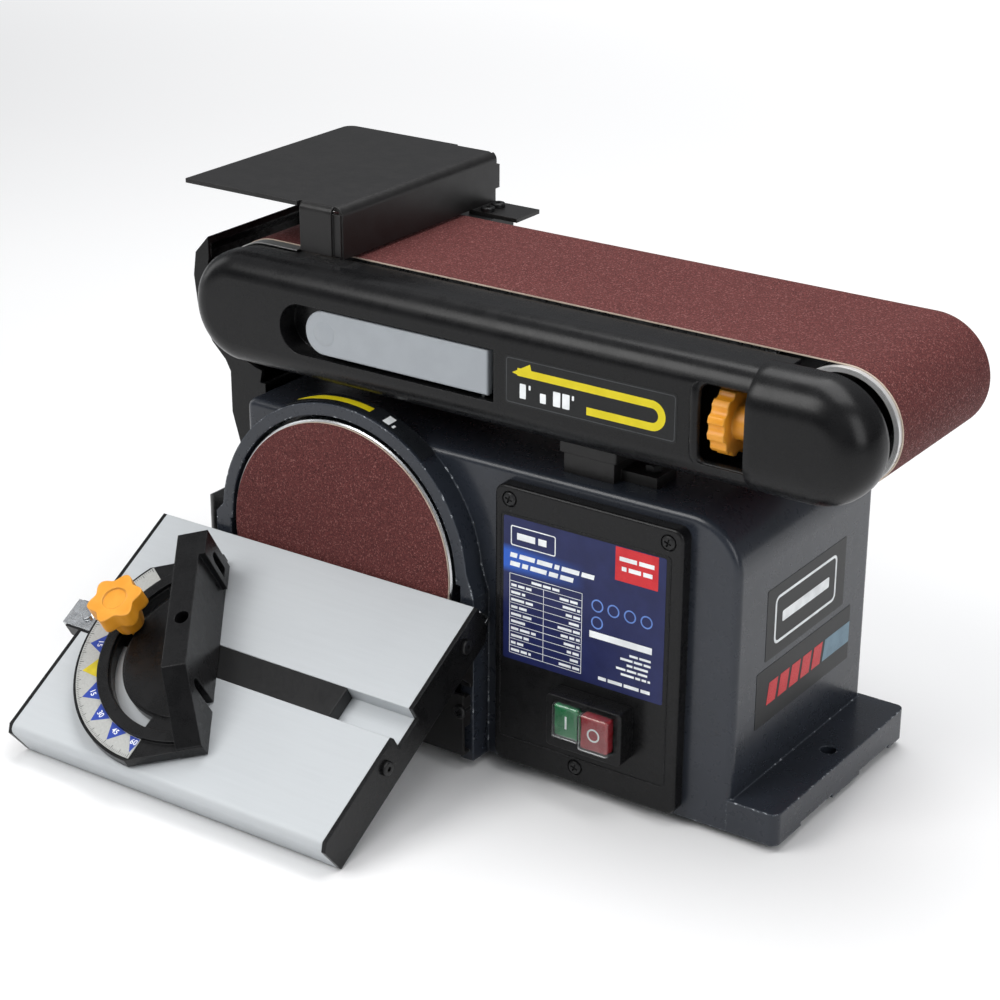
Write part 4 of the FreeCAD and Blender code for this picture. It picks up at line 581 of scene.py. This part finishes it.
# ------------------------------------------------------------------ arm: dome cap, idler end
CAP_R = 33.2  # half the cap's height
CAP_ROUND = 20.2  # rounding from its flat front into its rim
CAP_FLAT = CAP_R - CAP_ROUND
CAP_FRONT_Y = -3.2

# Half section of the cap: distance from the middle, depth y
cap_section = [(0.0, CAP_FRONT_Y), (7.0, CAP_FRONT_Y), (CAP_FLAT, CAP_FRONT_Y)]
for k in range(1, 15):
    a = math.radians(90.0 * k / 14)
    cap_section.append((CAP_FLAT + CAP_ROUND * math.sin(a),
                        CAP_FRONT_Y + CAP_ROUND * (1 - math.cos(a))))
cap_section += [(CAP_R, 19.0), (CAP_R - 0.1, 21.4), (CAP_R - 0.6, 22.0),
                (CAP_R - 1.4, 22.1), (CAP_R - 4.6, 22.1)]

# From the open left end to the start of the half turn: inset of the section, x
CAP_STATIONS = ((5.0, 253.4), (1.0, 253.0), (0.35, 253.15), (0.0, 254.0), (0.0, 258.0),
                (0.0, 264.0), (0.0, 270.0), (0.0, 276.0), (0.0, 281.0))


def shrink(section, d):
    """Section moved inwards by d along its own normal."""
    out = []
    for i, (r, y) in enumerate(section):
        r0, y0 = section[max(0, i - 1)]
        r1, y1 = section[min(len(section) - 1, i + 1)]
        dr, dy = r1 - r0, y1 - y0
        length = math.hypot(dr, dy)
        out.append((max(0.0, r - d * dy / length), y + d * dr / length))
    return out


def cap_straight(d, x, side):
    """Section at x, above (+1) or below (-1) the middle."""
    return [machine(x, y, BELT_Z + side * r) for r, y in shrink(cap_section, d)]


cap_rows = [cap_straight(*station, 1) for station in CAP_STATIONS]
for k in range(45):
    a = math.radians(90 - 180.0 * k / 44)
    cap_rows.append([machine(IDLER_X + r * math.cos(a), y, BELT_Z + r * math.sin(a))
                     for r, y in cap_section])
cap_rows += [cap_straight(*station, -1) for station in reversed(CAP_STATIONS)]
cap = Piece("arm_dome_cap", MATS["black_plastic"], "arm", "black_plastic")
cap.grid(cap_rows)
cap.done(smooth=50)

# ------------------------------------------------------------------ arm: lip round the window
# of the tracking knob, open to the right
LIP_R = 2.8  # radius of the rolled lip
LIP_SINK = 1.2  # its centre behind the cover's surface
WINDOW_HALF = 22.8  # half the window's height
CORNER_R = 6.2
CORNER_X, CORNER_Z = 229.5, WINDOW_HALF - CORNER_R


def cover_y(dz):
    """Depth of the arm's rounded cover at a height dz from its middle."""
    d = max(0.0, abs(dz) - CAP_FLAT) / CAP_ROUND
    return ARM_FRONT_Y + CAP_ROUND * (1.0 - math.sqrt(max(0.0, 1.0 - d * d)))


upper = [(x, WINDOW_HALF) for x in (252.6, 244.0, 236.0, CORNER_X)]
upper += arc(CORNER_X, CORNER_Z, CORNER_R, 100, 180, 8)
lip_path = upper + [(CORNER_X - CORNER_R, CORNER_Z - 2 * CORNER_Z * k / 6) for k in range(1, 6)]
lip_path += [(x, -dz) for x, dz in reversed(upper)]
lip_rows = []
for i, (x, dz) in enumerate(lip_path):
    x0, z0 = lip_path[max(0, i - 1)]
    x1, z1 = lip_path[min(len(lip_path) - 1, i + 1)]
    length = math.hypot(x1 - x0, z1 - z0)
    normal_x, normal_z = (z1 - z0) / length, -(x1 - x0) / length
    lip_rows.append([machine(x + normal_x * out, cover_y(dz) + LIP_SINK - forward,
                             BELT_Z + dz + normal_z * out)
                     for out, forward in circle(0.0, 0.0, LIP_R, 14)])
lip = Piece("window_lip", MATS["black_plastic"], "arm", "black_plastic")
lip.tube(lip_rows)
lip.done(smooth=60)

# ------------------------------------------------------------------ lever: low domed thumb pad
PAD_R, PAD_RISE = 7.2, 0.75
PAD_SINK = 0.06  # rim of the dome below the lever's face
PAD_ROOT = 0.4  # depth of the pad's back inside the lever
PAD_FROM_END = 13.2  # from the lever's left end to the pad's centre

lever_lo, lever_hi = box_mm("tension_lever")
pad_x, pad_z = lever_lo.x + PAD_FROM_END, (lever_lo.z + lever_hi.z) / 2.0
pad_rings = [(PAD_R, -PAD_ROOT)]  # radius, height
for k in range(8):
    r = PAD_R * (1.0 - k / 7.0)
    pad_rings.append((max(r, 0.05), PAD_RISE * (1.0 - (r / PAD_R) ** 2) - PAD_SINK))
pad = Piece("lever_thumb_pad", MATS["grey_plastic"], "lever", "grey_plastic")
pad.tube([[machine(x, lever_lo.y - h, z) for x, z in circle(pad_x, pad_z, r, 36)]
          for r, h in pad_rings])
pad.done(smooth=60)

# ------------------------------------------------------------------ arm: bright sheet guard
# over the upper left of the drum's front end
GUARD_R, GUARD_THICK = 31.7, 0.7
GUARD_FRONT, GUARD_BACK = 30.9, 38.4

guard_mat = metal("guard_strip", colour=(190, 190, 188), rough=(0.26, 0.4), scale=500.0,
                  stretch=(0.2, 1.0, 1.0))
guard = Piece("drum_guard_strip", guard_mat, "arm", "bare_steel")
# x of the bend's centre, degrees; the last three run straight to the right
guard_line = [(DRUM_X, a) for a in range(146, 89, -4)] + [(x, 90) for x in (-66.0, -58.0, -50.0)]
guard_rows = []
for x, degrees in guard_line:
    a = math.radians(degrees)
    guard_rows.append([machine(x + r * math.cos(a), y, BELT_Z + r * math.sin(a))
                       for r, y in ((GUARD_R, GUARD_FRONT), (GUARD_R, GUARD_BACK),
                                    (GUARD_R - GUARD_THICK, GUARD_BACK),
                                    (GUARD_R - GUARD_THICK, GUARD_FRONT))])
guard.tube(guard_rows)
guard.done(smooth=30)

# ------------------------------------------------------------------ arm: sticker with arrow
STICKER = (111.0, 112.8, 214.0, 139.2)
ARROW_X, ARROW_Z = 199.4, 125.0  # centre of the arrow's U-turn
ARROW_OUT, ARROW_IN = 8.1, 3.9  # radii of the turn
ARROW_RISE = 0.25  # the upper lane climbs a little to the left
ARROW_NECK_X = 119.0
ARROW_HEAD = [(115.8, 130.4), (120.5, 129.15), (127.5, 129.15), (127.5, 133.35), (126.7, 136.6)]
# Plain marks on the lower left, x0, z0, x1, z1
ARM_MARKS = (
    (120.5, 117.2, 124.3, 125.2), (126.0, 122.6, 127.2, 125.2), (133.0, 117.2, 136.6, 122.4),
    (141.0, 117.2, 145.4, 125.2), (146.6, 117.2, 151.0, 125.2), (152.4, 122.6, 153.6, 125.2))


def arm_print(name, mat):
    return Piece(name, mat, "arm", "black_plastic", on_front(ARM_FRONT_Y))


def arrow_edge(r):
    """One edge of the arrow's shaft: upper lane, turn, lower lane."""
    return ([(ARROW_NECK_X, ARROW_Z + r + ARROW_RISE)]
            + arc(ARROW_X, ARROW_Z, r, 90, -90, 24) + [(161.2, ARROW_Z - r)])


film = arm_print("arm_sticker", vinyl("sticker_black", base=(17, 18, 19), rough=0.24))
film.rect(STICKER, (-0.05, 0.14), r=2.0)
film.done()
edge = arm_print("arm_sticker_border", vinyl("sticker_edge", base=(58, 60, 62)))
edge.border(inset(STICKER, 1.0), 0.45, (1.6, 1.2), (0.1, 0.19))
edge.done()
yellow = vinyl("arrow_yellow", base=(214, 196, 22), mottle=(222, 204, 34), rough=0.35)
arrow = arm_print("arm_sticker_arrow", yellow)
arrow.band(arrow_edge(ARROW_OUT), arrow_edge(ARROW_IN), (0.12, 0.24), closed=False)
arrow.prism(ARROW_HEAD, (0.12, 0.25))
arrow.done()
white = vinyl("print_white", base=(226, 229, 230), rough=0.4)
marks = arm_print("arm_sticker_marks", white)
for box in ARM_MARKS:
    marks.rect(box, (0.12, 0.24), r=0.5)
marks.done()

# ------------------------------------------------------------------ pale cloth edges, turned rims
BELT_R, BELT_IN_R = 32.0, 31.25
BELT_EDGES = ((38.9, 39.12), (139.08, 139.3))  # y range at each side of the belt
RIM_R, RIM_IN_R, RIM_BACK_Y = 31.2, 28.4, 38.8

cloth = moulded("belt_cloth", base=(196, 178, 160), mottle=(214, 198, 182),
                edge=(220, 206, 190), rough=(0.7, 0.85), grain=2400.0, round_mm=0.1)
belt = Piece("belt_cloth_edge", cloth, "arm", "abrasive", at_depth)
for depths in BELT_EDGES:
    belt.band(stadium(BELT_R), stadium(BELT_IN_R), depths)
belt.done()

for body, axis_x, front_y in (("idler", IDLER_X, 35.6), ("drum", DRUM_X, 37.2)):
    rim_mat = turned(body + "_rim_turned", colour=(238, 238, 238),
                     centre=machine(axis_x, 0, BELT_Z), rough=(0.22, 0.34), metallic=0.55)
    rim = Piece(body + "_rim", rim_mat, body, "alloy", at_depth)
    rim.ring(axis_x, BELT_Z, RIM_R, RIM_IN_R, (front_y, RIM_BACK_Y), n=96)
    rim.done(smooth=30)

disc_edge = Piece("disc_cloth_edge", cloth, "motor", "abrasive", at_depth)
disc_edge.ring(0, 0, 75.12, 74.9, (0.1, 0.95), n=96)
disc_edge.done()

# ------------------------------------------------------------------ switch panel label, with
# plain bars in place of print
PRINT = (0.1, 0.2)
OVERPRINT = (0.18, 0.26)  # on top of the red field
RULE = (0.1, 0.19)
TABLE_X0, TABLE_X1 = 110.0, 156.0  # specification table
TABLE_TOP, TABLE_BOTTOM, TABLE_ROWS = 13.0, -34.0, 11
ROW = (TABLE_TOP - TABLE_BOTTOM) / TABLE_ROWS
DIVIDER_X = 131.75
RULE_HALF, POST_HALF = 0.14, 0.15  # half widths of the level and upright rules
CELL_TEXT = 1.5  # height of the bars in the table
CELL_RISE = 1.2  # bars above the rule below them


def panel_print(name, mat):
    return Piece(name, mat, "base", "black_plastic", on_front(PANEL_Y))


def words(piece, x0, x1, z, height, seed, levels=PRINT, slant=0.0):
    """A line of plain word-length bars."""
    x, k = x0, seed
    while x < x1 - 1.0:
        k = (k * 37 + 11) % 101
        w = min(2.5 + 6.5 * (k / 101.0) * (height / 1.4) ** 0.5, x1 - x)
        lean = slant * height
        piece.prism([(x, z), (x + w, z), (x + w + lean, z + height), (x + lean, z + height)],
                    levels)
        x += w + 0.45 * height + 0.3


label = panel_print("panel_label", banded_navy())
label.rect((105.9, -38.0, 206.6, 46.0), (-0.05, 0.12), r=1.2)
label.done()
red = vinyl("print_red", base=(196, 38, 46), mottle=(206, 46, 52))
red_field = panel_print("panel_label_red", red)
red_field.rect((176.0, 26.5, 202.0, 45.6), PRINT)
red_field.done()

bars = panel_print("panel_label_bars", white)
words(bars, 110.0, 163.0, z=22.6, height=2.7, seed=3, slant=0.2)
words(bars, 110.0, 150.0, z=17.6, height=2.7, seed=9, slant=0.2)
words(bars, 178.5, 199.5, z=38.0, height=2.4, seed=5, levels=OVERPRINT)
words(bars, 180.0, 199.0, z=32.6, height=2.4, seed=8, levels=OVERPRINT)
# header mark: an outlined plain bar
bars.border((110.5, 29.6, 139.0, 41.2), 0.6, (1.2, 0.8), PRINT)
words(bars, 114.5, 136.0, z=33.6, height=3.8, seed=2)
# table rules, title row and cells
for k in range(TABLE_ROWS + 1):
    z = TABLE_TOP - ROW * k
    bars.rect((TABLE_X0, z - RULE_HALF, TABLE_X1, z + RULE_HALF), RULE)
for x, top in ((TABLE_X0, TABLE_TOP), (TABLE_X1, TABLE_TOP), (DIVIDER_X, TABLE_TOP - ROW)):
    bars.rect((x - POST_HALF, TABLE_BOTTOM, x + POST_HALF, top), RULE)
words(bars, 124.0, 142.0, TABLE_TOP - ROW + CELL_RISE, CELL_TEXT, seed=4)
for k in range(1, TABLE_ROWS):
    z = TABLE_TOP - ROW * (k + 1) + CELL_RISE
    words(bars, TABLE_X0 + 1.0, TABLE_X0 + 9.0 + (k * 5) % 9, z, CELL_TEXT, seed=10 + k)
    words(bars, TABLE_X1 - 7.0 - (k * 7) % 9, TABLE_X1 - 1.0, z, CELL_TEXT, seed=30 + k)
# one solid bar and the short lines below it
bars.rect((161.0, -10.6, 199.5, -6.8), RULE)
for k, x in enumerate((186.0, 180.5, 184.5, 178.0, 181.0)):
    words(bars, x, 199.0, z=-15.5 - 3.0 * k, height=1.3, seed=50 + k)
words(bars, 167.0, 199.0, z=-34.2, height=1.9, seed=77)
bars.done()

dots = panel_print("panel_label_dots", vinyl("print_blue", base=(96, 128, 196)))
for x, z in ((165.6, 8.4), (175.5, 8.0), (185.7, 7.6), (195.8, 7.2), (165.6, -1.4)):
    dots.ring(x, z, 3.7, 2.9, RULE, n=24)
dots.done()

# raised line round the panel, moulded in
line = panel_print("panel_border_line", MATS["black_plastic"])
line.border((103.4, -86.5, 209.4, 47.6), 0.7, (2.5, 2.0), (-0.05, 0.28))
line.done()

# ------------------------------------------------------------------ switch: marks, clear hoods
MARK = (-0.05, 0.12)


def button_mark(name, body, slot):
    """Empty piece on a button's face, and the face's centre."""
    lo, hi = box_mm(body + "_button")
    piece = Piece(name, white, body, slot, on_front(lo.y))
    return piece, (lo.x + hi.x) / 2, (lo.z + hi.z) / 2


mark, x, z = button_mark("start_mark", "start", "green_plastic")
mark.rect((x - 0.6, z - 3.8, x + 0.6, z + 3.8), MARK, r=0.2)
mark.done()
mark, x, z = button_mark("stop_mark", "stop", "red_plastic")
mark.ring(x, z, 3.9, 2.9, MARK, n=32)
mark.done()

clear = clear_plastic()
hood_back = box_mm("switch_body")[0].y + 0.2


def clear_hood(name, button, left, right, reach):
    """Thin hood open at the back: margins left and right of the button, reach in front."""
    lo, hi = box_mm(button)
    box = (lo.x - left, lo.z - 1.4, hi.x + right, hi.z + 1.4)
    front = lo.y - reach
    hood = Piece(name, clear, "base", "black_plastic")

    def skin(stations, r):
        """Rings of the hood; stations are (inset, y)."""
        return hood.grid([[machine(x, y, z) for x, z in round_rect(inset(box, d), r, steps=5)]
                          for d, y in stations], wrap=True)

    outer = skin(((0.0, hood_back), (0.25, front + 1.2), (0.55, front + 0.35), (1.3, front)),
                 r=1.6)
    inner = skin(((1.8, front + 0.5), (1.0, front + 0.85), (0.7, front + 1.4),
                  (0.5, hood_back)), r=1.3)
    hood.bm.faces.new(outer[-1])
    hood.bm.faces.new(inner[0])
    n = len(outer[0])
    for i in range(n):
        j = (i + 1) % n
        hood.bm.faces.new((outer[0][i], outer[0][j], inner[-1][j], inner[-1][i]))
    hood.done(smooth=60)


clear_hood("clear_hood_start", "start_button", left=1.4, right=1.2, reach=1.6)
clear_hood("clear_hood_stop", "stop_button", left=1.3, right=1.4, reach=1.7)

# ------------------------------------------------------------------ base: stickers, right face
FILM = (-0.05, 0.15)
SIDE_PRINT = (0.12, 0.24)
STRIPE_Z0, STRIPE_Z1 = -44.6, -32.2  # the row of slanted blocks
STRIPE_LEAN = 2.6


def side_print(name, mat):
    return Piece(name, mat, "base", "cast_enamel", on_side)


def slanted(piece, y0, y1, top_y1):
    """Block with a leaning front edge."""
    piece.prism([(y0, STRIPE_Z0), (y1, STRIPE_Z0), (top_y1, STRIPE_Z1),
                 (y0 + STRIPE_LEAN, STRIPE_Z1)], SIDE_PRINT)


films = side_print("side_sticker_upper", vinyl("side_black", base=(15, 16, 17), rough=0.34))
films.rect((47.0, -18.0, 135.0, 23.0), FILM, r=0.8)
films.rect((39.0, -55.0, 145.0, -22.0), FILM, r=0.8)
films.done()
outline = side_print("side_sticker_outline", white)
outline.border((55.6, -11.3, 124.8, 16.5), 1.6, (4.0, 2.6), SIDE_PRINT)
outline.rect((64.0, -0.6, 116.4, 5.6), SIDE_PRINT, r=1.0)
outline.done()
red_blocks = side_print("side_sticker_red", red)
for k in range(5):
    y = 50.5 + 12.6 * k
    slanted(red_blocks, y, y + 9.8, y + 9.8 + STRIPE_LEAN)
red_blocks.done()
grey_block = side_print("side_sticker_grey", vinyl("print_steel_blue", base=(98, 126, 142)))
slanted(grey_block, 113.5, 144.9, 144.9)
grey_block.done()

# ------------------------------------------------------------------ shroud: sticker with the
# disc's turning arrow
SHROUD_R, SHROUD_Y = 86.0, 1.5  # radius at this depth
SHROUD_FLARE = 1.4 / 14.5  # gain in radius per depth
SHROUD_PRINT = (0.48, 0.62)


def shroud(degrees, y, h):
    r = SHROUD_R + (y - SHROUD_Y) * SHROUD_FLARE + h
    a = math.radians(degrees)
    return machine(r * math.cos(a), y, r * math.sin(a))


def arc_patch(piece, a0, a1, y0, y1, levels, n=40, taper=None):
    """Patch from a0 to a1 degrees; taper gives its share of the width along the way."""
    h0, h1 = levels
    rows = []
    for k in range(n + 1):
        t = k / n
        a = a0 + (a1 - a0) * t
        share = taper(t) if taper else 1.0
        middle = (y0 + y1) / 2
        ya, yb = middle + (y0 - middle) * share, middle + (y1 - middle) * share
        rows.append([shroud(a, ya, h0), shroud(a, ya, h1), shroud(a, yb, h1), shroud(a, yb, h0)])
    piece.tube(rows)


film = Piece("shroud_sticker", vinyl("shroud_black", base=(25, 27, 30), rough=0.25),
             "base", "cast_enamel")
arc_patch(film, 116.0, 50.0, 3.4, 14.2, (0.25, 0.5))
film.done()
arrow = Piece("shroud_sticker_arrow", yellow, "base", "cast_enamel")
arc_patch(arrow, 113.0, 78.0, 6.6, 11.0, SHROUD_PRINT, taper=lambda t: min(1.0, t / 0.3) ** 0.8)
arrow.done()
marks = Piece("shroud_sticker_marks", white, "base", "cast_enamel")
arc_patch(marks, 71.5, 68.5, 5.4, 12.2, SHROUD_PRINT, n=4)
arc_patch(marks, 67.3, 66.3, 5.4, 7.8, SHROUD_PRINT, n=3)
marks.done()

# ------------------------------------------------------------------ mitre scale: ticks,
# triangles and numerals
SCALE_Z = 8.15  # top of the scale plate, in the mitre frame
SCALE_PRINT = (-0.02, 0.06)
TICK_OUT_R = 74.8
BASE_R, TIP_R = 62.6, 71.9  # the triangles' base and tip
HALF_BASE = 6.1  # degrees
NUMERAL_R, NUMERAL_HEIGHT = 65.4, 4.6
# Numeral, suffix of its object's name, degrees on the scale
NUMERALS = ((15, "a", -15), (30, "a", -30), (15, "b", 15), (30, "b", 30), (45, "b", 45),
            (60, "b", 58.4))


def polar(r, degrees):
    """Point of the mitre frame, in degrees from -Y towards +X."""
    a = math.radians(degrees)
    return r * math.sin(a), -r * math.cos(a)


def scale_print(name, mat):
    return Piece(name, mat, "gauge_head", "alloy", lambda x, y, h: mitre(x, y, SCALE_Z + h))


ticks = scale_print("scale_ticks", vinyl("print_dark", base=(52, 54, 56), rough=0.4))
for d in range(-60, 61):
    inner_r, half_width = (72.2, 0.17) if d % 5 == 0 else (73.4, 0.11)
    (ax, ay), (bx, by) = polar(inner_r, d), polar(TICK_OUT_R, d)
    dx, dy = math.cos(math.radians(d)) * half_width, math.sin(math.radians(d)) * half_width
    ticks.prism([(ax - dx, ay - dy), (ax + dx, ay + dy), (bx + dx, by + dy), (bx - dx, by - dy)],
                SCALE_PRINT)
ticks.done(smooth=0)

blues = scale_print("scale_triangles_blue", vinyl(
    "scale_blue", base=(38, 62, 150), mottle=(44, 70, 160), rough=0.35))
centre_mark = scale_print("scale_triangle_yellow", vinyl(
    "scale_yellow", base=(196, 176, 40), rough=0.35))
for d in (-30, -15, 0, 15, 30, 45):
    triangle = [polar(BASE_R, d - HALF_BASE), polar(TIP_R, d), polar(BASE_R, d + HALF_BASE)]
    (centre_mark if d == 0 else blues).prism(triangle, SCALE_PRINT)
# the mark at 60 degrees is cut off along its far side
blues.prism([polar(BASE_R, 60 - HALF_BASE), polar(71.6, 59.6), polar(66.4, 60.6),
             polar(BASE_R, 60.6)], SCALE_PRINT)
blues.done(smooth=0)
centre_mark.done(smooth=0)


def numeral(text, degrees):
    """Mesh of a number that stands upright along a radius of the scale."""
    curve = bpy.data.curves.new("numeral_" + text, "FONT")
    curve.body = text
    curve.size = NUMERAL_HEIGHT / 1000.0
    curve.extrude = 0.00003
    curve.offset = 0.00004
    curve.align_x, curve.align_y = "CENTER", "CENTER"
    curve.resolution_u = 6
    temp = bpy.data.objects.new("tmp_" + text, curve)
    bpy.context.scene.collection.objects.link(temp)
    bpy.context.view_layer.update()
    depsgraph = bpy.context.evaluated_depsgraph_get()
    mesh = bpy.data.meshes.new_from_object(temp.evaluated_get(depsgraph))
    bpy.data.objects.remove(temp)
    c, s = math.cos(math.radians(degrees)), math.sin(math.radians(degrees))
    x_dir = (mitre(c, s, 0) - mitre(0, 0, 0)).normalized()
    y_dir = (mitre(-s, c, 0) - mitre(0, 0, 0)).normalized()
    pose = Matrix((x_dir, y_dir, x_dir.cross(y_dir))).transposed().to_4x4()
    pose.translation = mitre(*polar(NUMERAL_R, degrees), SCALE_Z + 0.09)
    mesh.transform(pose)
    mesh.materials.clear()
    mesh.materials.append(white)
    return mesh


for number, suffix, degrees in NUMERALS:
    mesh = numeral(str(number), degrees)
    obj = bpy.data.objects.new("scale_number_%d_%s" % (number, suffix), mesh)
    bpy.context.scene.collection.objects.link(obj)
    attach(obj, "gauge_head")

# ------------------------------------------------------------------ floor (metres from here on)
floor_mesh = bpy.data.meshes.new("floor")
bm = bmesh.new()
bmesh.ops.create_grid(bm, x_segments=4, y_segments=4, size=6.0)
bm.to_mesh(floor_mesh)
bm.free()
floor = bpy.data.objects.new("floor", floor_mesh)
floor.location = (0.2, 0.0, -0.0050)
bpy.context.scene.collection.objects.link(floor)
s = Shader("floor_pale")
cloud = s.noise(scale=3.0, detail=2.0, rough=0.5)
glow = s.remap(s.xyz()[1], span=(0.1, 2.2), to=(0.0, 0.75))  # brighter towards the back
s.set(Base_Color=s.mix(cloud, (0.88, 0.88, 0.885, 1), (0.9, 0.9, 0.9, 1)), Roughness=0.75,
      Emission_Color=(1.0, 1.0, 1.0, 1.0), Emission_Strength=glow)
floor_mesh.materials.append(s.mat)

# ------------------------------------------------------------------ world: grey, paler overhead
world = bpy.data.worlds.new("studio")
bpy.context.scene.world = world
world.use_nodes = True
tree = world.node_tree
tree.nodes.clear()
out = tree.nodes.new("ShaderNodeOutputWorld")
background = tree.nodes.new("ShaderNodeBackground")
coords = tree.nodes.new("ShaderNodeTexCoord")
split = tree.nodes.new("ShaderNodeSeparateXYZ")
ramp = tree.nodes.new("ShaderNodeValToRGB")
tree.links.new(coords.outputs["Generated"], split.inputs[0])
tree.links.new(split.outputs[2], ramp.inputs[0])
low, high = ramp.color_ramp.elements
low.position, low.color = 0.0, (0.16, 0.17, 0.18, 1)
high.position, high.color = 0.75, (0.75, 0.76, 0.78, 1)
tree.links.new(ramp.outputs[0], background.inputs[0])
background.inputs["Strength"].default_value = 0.55
tree.links.new(background.outputs[0], out.inputs[0])

# ------------------------------------------------------------------ lights
LIGHT_TARGET = Vector((0.0, 0.0, 0.14))
# name, place, size, size_y, watts, colour
LIGHTS = (
    ("key_softbox", (-0.55, -1.15, 1.25), 0.9, 0.9, 15.0, (1.0, 0.995, 0.985)),
    ("top_softbox", (0.10, 0.15, 1.35), 1.4, 0.7, 13.0, (1, 1, 1)),
    ("right_softbox", (1.35, -0.55, 0.75), 0.6, 1.0, 6.0, (0.985, 0.99, 1.0)),
    ("left_softbox", (-1.4, -0.2, 0.6), 0.5, 0.9, 2.5, (1, 1, 1)),
)
for name, place, size, size_y, watts, colour in LIGHTS:
    light = bpy.data.lights.new(name, "AREA")
    light.shape = "RECTANGLE"
    light.size, light.size_y = size, size_y
    light.energy = watts
    light.color = colour
    obj = bpy.data.objects.new(name, light)
    obj.location = place
    obj.rotation_euler = (LIGHT_TARGET - Vector(place)).to_track_quat("-Z", "Y").to_euler()
    bpy.context.scene.collection.objects.link(obj)

# ------------------------------------------------------------------ camera: front right, above
CAMERA_PLACE = (774.78, -967.61, 554.25)  # millimetres, machine frame
turn, dip, roll = math.radians(34.54), math.radians(22.92), math.radians(0.27)

cam_data = bpy.data.cameras.new("camera")
cam_data.sensor_width = 36.0
cam_data.lens = 87.354
cam_data.clip_start, cam_data.clip_end = 0.05, 30.0
cam = bpy.data.objects.new("camera", cam_data)
bpy.context.scene.collection.objects.link(cam)
forward = Vector((-math.sin(turn) * math.cos(dip), math.cos(turn) * math.cos(dip),
                  -math.sin(dip)))
right = Vector((math.cos(turn), math.sin(turn), 0.0))
rolled_right = right * math.cos(roll) + right.cross(forward) * math.sin(roll)
rolled_up = rolled_right.cross(forward)
pose = Matrix((rolled_right, rolled_up, -forward)).transposed().to_4x4()
pose.translation = machine(*CAMERA_PLACE)
cam.matrix_world = pose

scene = bpy.context.scene
scene.camera = cam
scene.view_settings.view_transform = "Standard"
scene.view_settings.look = "None"
scene.view_settings.exposure = 0.0
scene.view_settings.gamma = 1.0
